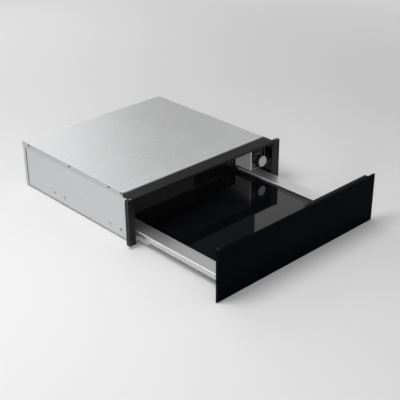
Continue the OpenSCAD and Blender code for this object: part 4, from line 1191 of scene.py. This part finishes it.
@dataclass
class Controls(Assembly):
    """The control box with its knob, rocker, lamp and loom."""

    flutes: int = 22
    mark_radius: float = 17.9 * MM
    mark_turn: float = 135.0
    bend: float = 14.0 * MM
    bead: float = 0.55 * MM
    wing: float = 3.3 * MM
    wing_depth: float = 2.45 * MM
    lens_radius: float = 3.6 * MM
    pointer_radius: float = 0.55 * MM
    loom_radius: float = 3.5 * MM
    loom_groove: float = 0.3 * MM
    loom_pitch: int = 6

    def knob(self) -> None:
        """Makes the knob: a skirt, a fluted grip, a spun cap and a pointer."""
        low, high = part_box("temperature_knob")
        cap_low, cap_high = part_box("knob_cap")
        r, thick = (high.x - low.x) / 2, cap_high.y - cap_low.y
        profile = np.array([[0.9, 0.0], [0.985, 0.0], [1.0, 0.02], [1.0, 0.17], [0.985, 0.2], [0.93, 0.23],
                            [0.91, 0.27], [0.905, 0.34], [0.9, 0.5], [0.895, 0.7], [0.89, 0.86], [0.89, 0.95],
                            [0.93, 0.985], [0.93, 1.0]]) * (r, high.y - low.y)

        def flute(angle: np.ndarray, radius: np.ndarray) -> np.ndarray:
            """Rounded grooves along the grip, from the cosine of the angle times their number."""
            grip = np.clip((r * 0.93 - radius) / (r * 0.02), 0, 1)
            return 1 - 0.05 * grip * (0.5 + 0.5 * np.cos(self.flutes * angle)) ** 1.5

        grip = turned(profile, centred("temperature_knob", high.y), Axis.Y_NEG, self.flutes * 10, ripple=flute)
        self.make("fluted_knob", KNOB_BLACK, [grip], "knob", "temperature_knob")
        face = np.array([[0.93, 0.0], [0.985, 0.04], [1.0, 0.2], [1.0, 0.6], [0.99, 0.78], [0.96, 0.92],
                         [0.92, 0.99], [0.88, 1.0], [0.84, 0.98], [0.8, 0.9], [0.7, 0.84], [0.45, 0.76],
                         [0.2, 0.72], [0.03, 0.71]]) * (r, thick)
        x, y, z = centred("temperature_knob", cap_high.y)
        finish = SpunMetal("spun_cap_on_knob", SPUN_CAP.colour, centre=(x, 0.0, z), roughness=0.3)
        self.make("spun_knob_cap", finish, [turned(face, (x, y, z), Axis.Y_NEG, 128)], "knob", "knob_cap")
        line = np.array([[x, cap_low.y + thick * 0.08, z + r * share] for share in (0.42, 0.9)])
        self.make("knob_pointer", KNOB_BLACK, [tube(evenly(line, 0.5 * MM), self.pointer_radius, 12)], "knob")

    def dial(self) -> None:
        """Prints the dial: an arc whose width grows with the angle, and a dot at its start."""
        x, front, z = centred("temperature_knob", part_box("control_fascia")[0].y)
        angle = np.radians(np.linspace(-self.mark_turn + 14, self.mark_turn, 90))[:, None]
        half = (0.09 + 0.42 * (angle - angle[0]) / (angle[-1] - angle[0])) * MM
        radius = self.mark_radius + half * np.array([-1, 1, 1, -1])
        depth = front + np.array([0.02, 0.02, -0.06, -0.06]) * MM + 0 * angle
        arc = np.stack([x + radius * np.sin(angle), depth, z + radius * np.cos(angle)], axis=-1)
        turn = math.radians(-self.mark_turn)
        at = (x + self.mark_radius * math.sin(turn), front + 0.02 * MM, z + self.mark_radius * math.cos(turn))
        dot = turned(np.array([[0.62, 0.0], [0.6, 0.06], [0.5, 0.08]]) * MM, at, Axis.Y_NEG, 24)
        self.make("dial_marks", WHITE_INK, [arc, dot], "housing")

    def trim(self) -> None:
        """Makes the bead round the fascia, a small circle carried along its edges, its wing and the lip, whose
        near-white tone is a painted highlight.
        """
        low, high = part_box("control_fascia")
        box_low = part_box("control_box")[0]
        r, left, back = self.bead, low.x - self.wing, low.y + self.wing_depth
        y = low.y + r * 0.4
        corners = [(left, y, low.z - r), (high.x + r, y, low.z - r), (high.x + r, y, high.z)]
        self.make("fascia_bead", BEAD_STEEL, [tube(routed(corners, 1.2 * MM, 0.6 * MM), r, 12)], "housing")
        wing = upright((left, low.x + MM), (low.y, back), (low.z, high.z), 0.7 * MM)
        self.make("fascia_wing", GLOSS_FASCIA, [wing], "housing")
        # The lip's near-white tone is a painted highlight.
        lip = upright((box_low.x, left), (low.y + 0.6 * MM, back), (box_low.z, high.z), 0.5 * MM)
        self.make("bright_box_lip", LIP_PAINTED_HIGHLIGHT, [lip], "housing")

    def lamp(self) -> None:
        """Makes the pilot lamp: a domed lens in a bright ring, with its barrel behind the fascia."""
        middle = centred("pilot_lamp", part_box("control_fascia")[0].y)
        deep, r = (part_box("pilot_lamp")[1].y - middle[1]) / MM, self.lens_radius / MM
        arc = np.radians(np.linspace(0, 86, 10))
        barrel = [[r - 0.4, -deep], [r, -deep], [r, 0.0]]
        lens = np.concatenate([barrel, np.stack([r * np.cos(arc), 0.6 + 1.1 * np.sin(arc)], axis=1)]) * MM
        self.make("lamp_lens", SMOKED, [turned(lens, middle, Axis.Y_NEG, 48)], "housing", "pilot_lamp")
        ring = np.array([[3.7, -0.1], [4.9, -0.1], [4.9, 0.35], [4.7, 0.75], [4.2, 0.95], [3.8, 0.8], [3.7, 0.5],
                         [3.7, -0.1]]) * MM
        self.make("lamp_ring", KNOB_BLACK, [turned(ring, middle, Axis.Y_NEG, 48)], "housing", caps=False)

    def loom(self) -> None:
        """Makes the loom's corrugated sleeve: its radius follows a cosine of the arc length."""
        low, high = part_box("wiring_loom")
        r = self.loom_radius
        x, z, y, foot = high.x - r, high.z - r, high.y - r, low.z + r
        path = routed([(x, low.y, z), (x, y, z), (x, y, foot), (low.x, y, foot)], self.bend, 0.36 * MM)
        turn = np.arange(len(path)) * 2 * np.pi / self.loom_pitch
        wave = r - self.loom_groove * (0.5 - 0.5 * np.cos(turn)) ** 2
        self.make("corrugated_loom", SLEEVE, [tube(path, wave, 16)], "housing", "wiring_loom")

    def build(self) -> None:
        """Dresses the controls and builds what shows round."""
        self.dress({BOX_SHEET: "control_box", GLOSS_FASCIA: "control_fascia switch_rocker", CASE_STEEL: "thermostat",
                    TURNED_STEEL: "thermostat_spindle", KNOB_BLACK: "temperature_knob", SPUN_CAP: "knob_cap",
                    GREY_MOULD: "switch_body", SMOKED: "pilot_lamp", SLEEVE: "wiring_loom"})
        self.knob()
        self.dial()
        self.trim()
        self.lamp()
        self.loom()


@dataclass
class Slides(Assembly):
    """The three rolled rails on each side."""

    wall: float = 1.2 * MM
    bend: float = 1.3 * MM

    def channel(self, node: str, outward: bool, body: str, name: str) -> None:
        """Makes one rail: a web with a rounded flange above and below.

        Args:
            node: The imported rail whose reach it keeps.
            outward: Whether the web is on the outer side.
            body: The body that it rides on.
            name: The piece's name.
        """
        low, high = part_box(node)
        half = self.wall / 2
        web, lip = (high.x - half, low.x) if (low.x > 0) == outward else (low.x + half, high.x)
        line = np.array([[lip, low.z + half], [web, low.z + half], [web, high.z - half], [lip, high.z - half]])
        shape = Shape()
        shape.add_strip(line, self.wall, self.bend, [low.y, low.y + 1 * MM, high.y - 1 * MM, high.y])
        self.hand_over(shape.mesh(name, RAIL_STEEL), body, node)

    def build(self) -> None:
        """Builds all six rails."""
        for side in ("left", "right"):
            self.dress({RAIL_STEEL: f"{side}_fixed_rail {side}_middle_rail {side}_drawer_rail"})
            self.channel(f"{side}_fixed_rail", True, "housing", f"{side}_outer_slide")
            self.channel(f"{side}_middle_rail", False, f"{side}_middle", f"{side}_middle_slide")
            self.channel(f"{side}_drawer_rail", False, "drawer", f"{side}_inner_slide")


@dataclass
class Drawer(Assembly):
    """The drawer with its glass plate and glass front."""

    edge: float = 0.35 * MM
    corner: float = 3.0 * MM
    buffer_radius: float = 5.0 * MM

    def plate_edge(self) -> None:
        """Makes the ground edge that catches light round the glass plate, on a rounded rectangle.

        The outward direction turns once round. The path is each corner's middle plus the corner's
        radius times that direction, and a small circle stands square to it.
        """
        low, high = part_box("glass_trim")
        r, e = self.corner, self.edge
        middles = np.array([(high.x - r, high.y - r, high.z), (low.x + r, high.y - r, high.z),
                            (low.x + r, low.y + r, high.z), (high.x - r, low.y + r, high.z)])
        a = (np.radians(np.linspace(0, 90, 10)) + np.arange(4)[:, None] * np.pi / 2).ravel()
        out = np.stack([np.cos(a), np.sin(a), 0 * a], axis=1)
        path = np.repeat(middles, 10, axis=0) + (r - e) * out
        path, out = np.concatenate([path, path[:1]])[:, None], np.concatenate([out, out[:1]])[:, None]
        s = np.linspace(0, 2 * np.pi, 8, endpoint=False)[None, :, None]
        grid = path + e * (np.cos(s) * out + np.sin(s) * np.array([0.0, 0.0, 1.0]))
        self.make("plate_edge", GROUND_EDGE, [grid], "drawer", caps=False)

    def bumpers(self) -> None:
        """Makes the front's rubber buffers, domed towards the housing."""
        low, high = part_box("front_buffers")
        profile = np.array([[0.8, 0.0], [1.0, 0.0], [1.0, 0.55], [0.94, 0.68], [0.8, 0.74], [0.72, 0.72],
                            [0.62, 0.86], [0.45, 0.95], [0.2, 1.0], [0.03, 1.0]]) * (self.buffer_radius, high.y - low.y)
        grids = [turned(profile, (x, low.y, z), Axis.Y_POS, 40)
                 for x, z in four_corners("front_buffers", self.buffer_radius)]
        self.make("domed_buffers", RUBBER, grids, "drawer", "front_buffers")

    def bracket_screws(self) -> None:
        """Makes the four screws that hold the front's brackets."""
        screw = Screw()
        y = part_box("front_screws")[1].y - screw.rise
        grids = [screw.grid((x, y, z), Axis.Y_POS) for x, z in four_corners("front_screws", screw.head / 2)]
        self.make("bracket_screws", BRIGHT_ZINC, grids, "drawer", "front_screws")

    def build(self) -> None:
        """Dresses the drawer and adds its small pieces."""
        self.dress({ZINC_INSIDE: "drawer_tray glass_supports front_brackets",
                    STEEL_FLANGE: "drawer_left_side drawer_right_side", STEEL_RIM: "drawer_front_rim",
                    REAR_WALL_WITH_PAINTED_SHADE: "drawer_rear_wall", PLATE_GLASS: "glass_plate", GLASS_BORDER: "glass_trim",
                    BLACK_TRAY: "front_backplate", INNER_PANEL: "front_inner_panel", FRONT_GLASS: "front_glass",
                    BRIGHT_ZINC: "front_screws latch_striker", RUBBER: "front_buffers"})
        self.plate_edge()
        self.bumpers()
        self.bracket_screws()


@dataclass
class RearRoom(Assembly):
    """The room behind the baffle: blower, heater, latch and mains entry."""

    blades: int = 20
    blade_reach: float = 5.0 * MM
    blade_half: float = 0.4 * MM
    cage: tuple[float, float] = (-216.48 * MM, -46.48 * MM)
    disc: float = 1.5 * MM
    rotor_x: float = -31.0 * MM
    pitch: float = 15.0 * MM
    sheath: float = 3.25 * MM
    heater_bend: float = 7.0 * MM
    grips: int = 18

    def impeller(self) -> None:
        """Makes the crossflow impeller: three rimmed discs, a shaft, a rotor and curved blades.

        A blade's middle line is an arc from the inner to the outer radius whose angle grows with the
        square of the way out, and the blade is moved half its thickness to each side of that line.
        """
        low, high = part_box("blower_impeller")
        y, z = (low.y + high.y) / 2, (low.z + high.z) / 2
        r, shape = (high.y - low.y) / 2, Shape()
        left, right = self.cage
        rim = np.array([[2.4, 0], [r / MM - 1.2, 0], [r / MM, 0.2], [r / MM, 1.3], [r / MM - 1.2, 1.5],
                        [2.4, 1.5], [2.4, 0]]) * MM
        for x in (left, (left + right - self.disc) / 2, right - self.disc):
            shape.add_grid(turned(rim, (x, y, z), Axis.X_POS, 60), caps=False)
        long = (high.x - low.x) / MM
        shaft = np.array([[1.6, 0.0], [2.5, 0.8], [2.5, long - 0.8], [1.6, long]]) * MM
        shape.add_grid(turned(shaft, (low.x, y, z), Axis.X_POS, 24))
        rotor = np.array([[9.2, 0], [10, 0.8], [10, 16.2], [9.2, 17]]) * MM
        shape.add_grid(turned(rotor, (self.rotor_x, y, z), Axis.X_POS, 40))
        out = np.linspace(0, 1, 8)
        reach = r - 0.6 * MM - self.blade_reach * (1 - out)
        lean = 0.34 * out ** 2 - 0.1
        half = self.blade_half / reach * np.sin(np.pi * np.clip(out * 0.9 + 0.05, 0, 1)) ** 0.3
        around = np.concatenate([lean + half, (lean - half)[::-1]])
        ring = np.concatenate([reach, reach[::-1]])
        ends = np.array([left + self.disc / 2, right - self.disc / 2])[:, None]
        for k in range(self.blades):
            a = around + 2 * np.pi * k / self.blades
            shape.add_grid(np.stack(np.broadcast_arrays(ends, y + ring * np.cos(a), z + ring * np.sin(a)), axis=-1))
        self.hand_over(shape.mesh("crossflow_impeller", BLADES), "impeller", "blower_impeller")

    def heater(self) -> None:
        """Makes the tubular heater: two runs joined by a half turn, and two tails that bend back."""
        low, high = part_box("heating_element")
        r, half = self.sheath, self.pitch / 2
        y, upper, tail, end = low.y + r, high.z - r, high.x - r, high.y
        lower, start = upper - self.pitch, low.x + r + half
        a = np.linspace(np.pi / 2, 3 * np.pi / 2, 24)
        turn = np.stack([start + half * np.cos(a), y + 0 * a, (upper + lower) / 2 + half * np.sin(a)], axis=1)
        near = tail - self.pitch
        top = routed([(near, end, upper), (near, y, upper), (start, y, upper)], self.heater_bend, MM)
        bottom = routed([(start, y, lower), (tail, y, lower), (tail, end, lower)], self.heater_bend, MM)
        path = evenly(np.concatenate([top, turn[1:-1], bottom]), MM)
        self.make("bent_heater", SHEATH, [tube(path, r, 20)], "housing", "heating_element")

    def gland(self) -> None:
        """Makes the cable bush: a fluted collar outside, a waist in the sheet and a lip inside."""
        low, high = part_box("cable_gland")
        deep = (high.y - low.y) / MM
        ring = np.array([[4.0, -0.8], [5.0, 0.0], [7.4, 0.0], [8.2, -0.5], [9.9, -1.6], [9.9, -3.8], [7.6, -3.9],
                         [7.2, -4.1], [7.2, -6.6], [9.4, -6.8], [9.4, 1.2 - deep], [8.4, -deep], [4.0, -deep],
                         [4.0, -0.8]]) * MM

        def grip(angle: np.ndarray, radius: np.ndarray) -> np.ndarray:
            """Shallow flutes on the widest part."""
            return 1 - 0.035 * (radius > 9.8 * MM) * (0.5 + 0.5 * np.cos(self.grips * angle))

        collar = turned(ring, centred("cable_gland", high.y), Axis.Y_POS, 144, ripple=grip)
        self.make("fluted_gland", GREY_MOULD, [collar], "housing", "cable_gland", caps=False)

    def build(self) -> None:
        """Dresses the rear room and builds what is round or bent."""
        # The blower casing and the heater guard wear near-black as painted shade, so that little shows through the
        # baffle's slots.
        self.dress({BAFFLE_BLACK_AND_PAINTED_SHADE: "rear_baffle blower_casing heater_guard", BLADES: "blower_impeller",
                    STACK: "blower_motor", BRONZE: "bearing_bush", SHEATH: "heating_element",
                    BROWN_MOULD: "safety_cutout", WHITE_MOULD: "terminal_block latch_plunger",
                    GREY_MOULD: "cable_gland latch_body"})
        self.impeller()
        self.heater()
        self.gland()


# ---------------------------------------------------------------- the studio


@dataclass(frozen=True)
class Lamp:
    """A square area lamp: its name, its place, what it points at, its side and its power in watts."""

    name: str
    place: Colour
    aim: Colour
    size: float
    power: float

    def hang(self) -> None:
        """Puts the lamp into the scene."""
        data = bpy.data.lights.new(self.name, "AREA")
        data.shape, data.size, data.energy = "SQUARE", self.size, self.power
        lamp = placed(self.name, data)
        lamp.location = self.place
        lamp.rotation_euler = (Vector(self.aim) - Vector(self.place)).to_track_quat("-Z", "Y").to_euler()


@dataclass
class Studio:
    """The camera, the pale floor and the plain soft light."""

    camera_place: Colour = (-1.52061, -1.67397, 1.18054)
    camera_right: Colour = (0.72698319, -0.68663096, -0.00577595)
    camera_up: Colour = (0.31965002, 0.33096671, 0.8878541)
    camera_back: Colour = (-0.60771647, -0.64730129, 0.46008884)
    lens: float = 79.924
    sensor: float = 36.0
    sight: float = 100.0
    floor_colour: Colour = (0.80, 0.80, 0.80)
    floor_half: float = 60.0
    fade: tuple[float, float] = (1.0, 3.2)
    room_light: float = 0.40
    backdrop: float = 0.744
    shaded_wall: float = 0.072
    wall_top: tuple[float, float] = (0.62, 0.77)
    wall_edge: float = 47.2
    edge_half: float = 0.0008
    white: Colour = (1.0, 1.0, 1.0)
    lamps: tuple[Lamp, ...] = (Lamp("top", (-0.9, 0.1, 1.6), (-0.15, 0.05, 0.1), 0.8, 16.0),
                               Lamp("key", (-2.5, -2.5, 1.15), (0.1, -0.1, 0.08), 1.1, 35.0),
                               Lamp("fill", (1.9, -1.6, 1.7), (0.0, -0.1, 0.1), 1.6, 3.0),
                               Lamp("rear", (0.3, 2.1, 1.15), (-0.2, 0.3, 0.1), 1.7, 11.5))

    def place_camera(self) -> None:
        """Puts the camera where the photograph was taken from."""
        data = bpy.data.cameras.new("camera")
        data.sensor_width, data.lens, data.clip_end = self.sensor, self.lens, self.sight
        camera = placed("camera", data)
        turn = Matrix((self.camera_right, self.camera_up, self.camera_back)).transposed().to_4x4()
        camera.matrix_world = Matrix.Translation(Vector(self.camera_place)) @ turn
        bpy.context.scene.camera = camera

    def lay_floor(self) -> None:
        """Lays a pale floor under the object, which fades into the backdrop far away."""
        h = self.floor_half
        data = bpy.data.meshes.new("floor")
        data.from_pydata([(-h, -h, 0), (h, -h, 0), (h, h, 0), (-h, h, 0)], [], [(0, 1, 2, 3)])
        recipe = Recipe("floor_paper")
        recipe.set(Base_Color=self.floor_colour, Roughness=0.9, Specular_IOR_Level=0.1)
        far = recipe.sharpen(recipe.vector("LENGTH", recipe.coords), *self.fade)
        rays = recipe.node("LightPath", {}).outputs
        seen = recipe.math("MAXIMUM", rays["Is Camera Ray"], rays["Is Glossy Ray"])
        seen = recipe.math("MAXIMUM", seen, rays["Is Transmission Ray"])
        glow = recipe.node("Emission", {"Color": self.white, "Strength": self.backdrop})
        mix = recipe.node("MixShader", {0: recipe.math("MULTIPLY", far, seen), 1: recipe.shader.outputs[0],
                                        2: glow.outputs[0]})
        recipe.feed(recipe.output.inputs["Surface"], mix.outputs[0])
        data.materials.append(recipe.material)
        placed("floor", data)

    def paint_room(self) -> None:
        """Paints the room: even light, a pale backdrop, and one wall in shade that gloss can see.

        The shaded wall ends at a sharp upright edge, at an angle from the back towards the right.
        """
        world = bpy.data.worlds.new("room")
        bpy.context.scene.world = world
        world.use_nodes = True
        room = Tree(world.node_tree)
        rays = room.node("LightPath", {}).outputs
        look = room.node("TexCoord", {}).outputs["Generated"]
        turn = math.radians(self.wall_edge)
        aim = room.vector("DOT_PRODUCT", look, (math.cos(turn), -math.sin(turn), 0.0))
        above = room.sharpen(room.part(2, look), *self.wall_top)
        lit = room.math("MAXIMUM", room.step(aim, 0.0, self.edge_half), above)
        shades = [room.node("Background", {"Color": self.white, "Strength": strength}).outputs[0]
                  for strength in (self.room_light, room.spread(lit, self.shaded_wall, self.backdrop), self.backdrop)]
        seen = shades[0]
        for ray, shade in (("Is Glossy Ray", 1), ("Is Transmission Ray", 2), ("Is Camera Ray", 2)):
            seen = room.node("MixShader", {0: rays[ray], 1: seen, 2: shades[shade]}).outputs[0]
        room.node("OutputWorld", {"Surface": seen})

    def build(self) -> None:
        """Sets the whole studio."""
        self.place_camera()
        self.lay_floor()
        self.paint_room()
        for lamp in self.lamps:
            lamp.hang()
        bpy.context.scene.view_settings.view_transform = "Standard"
        log.info("Studio: camera, floor, room and four lamps")


def main() -> None:
    """Builds the looks in order."""
    logging.basicConfig(level=logging.INFO)
    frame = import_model()
    Studio().build()
    nodes = frame["nodes"]
    for kind in (Housing, Controls, Slides, Drawer, RearRoom):
        kind(nodes).build()
    log.info("sizes written")


if __name__ == "__main__":
    main()
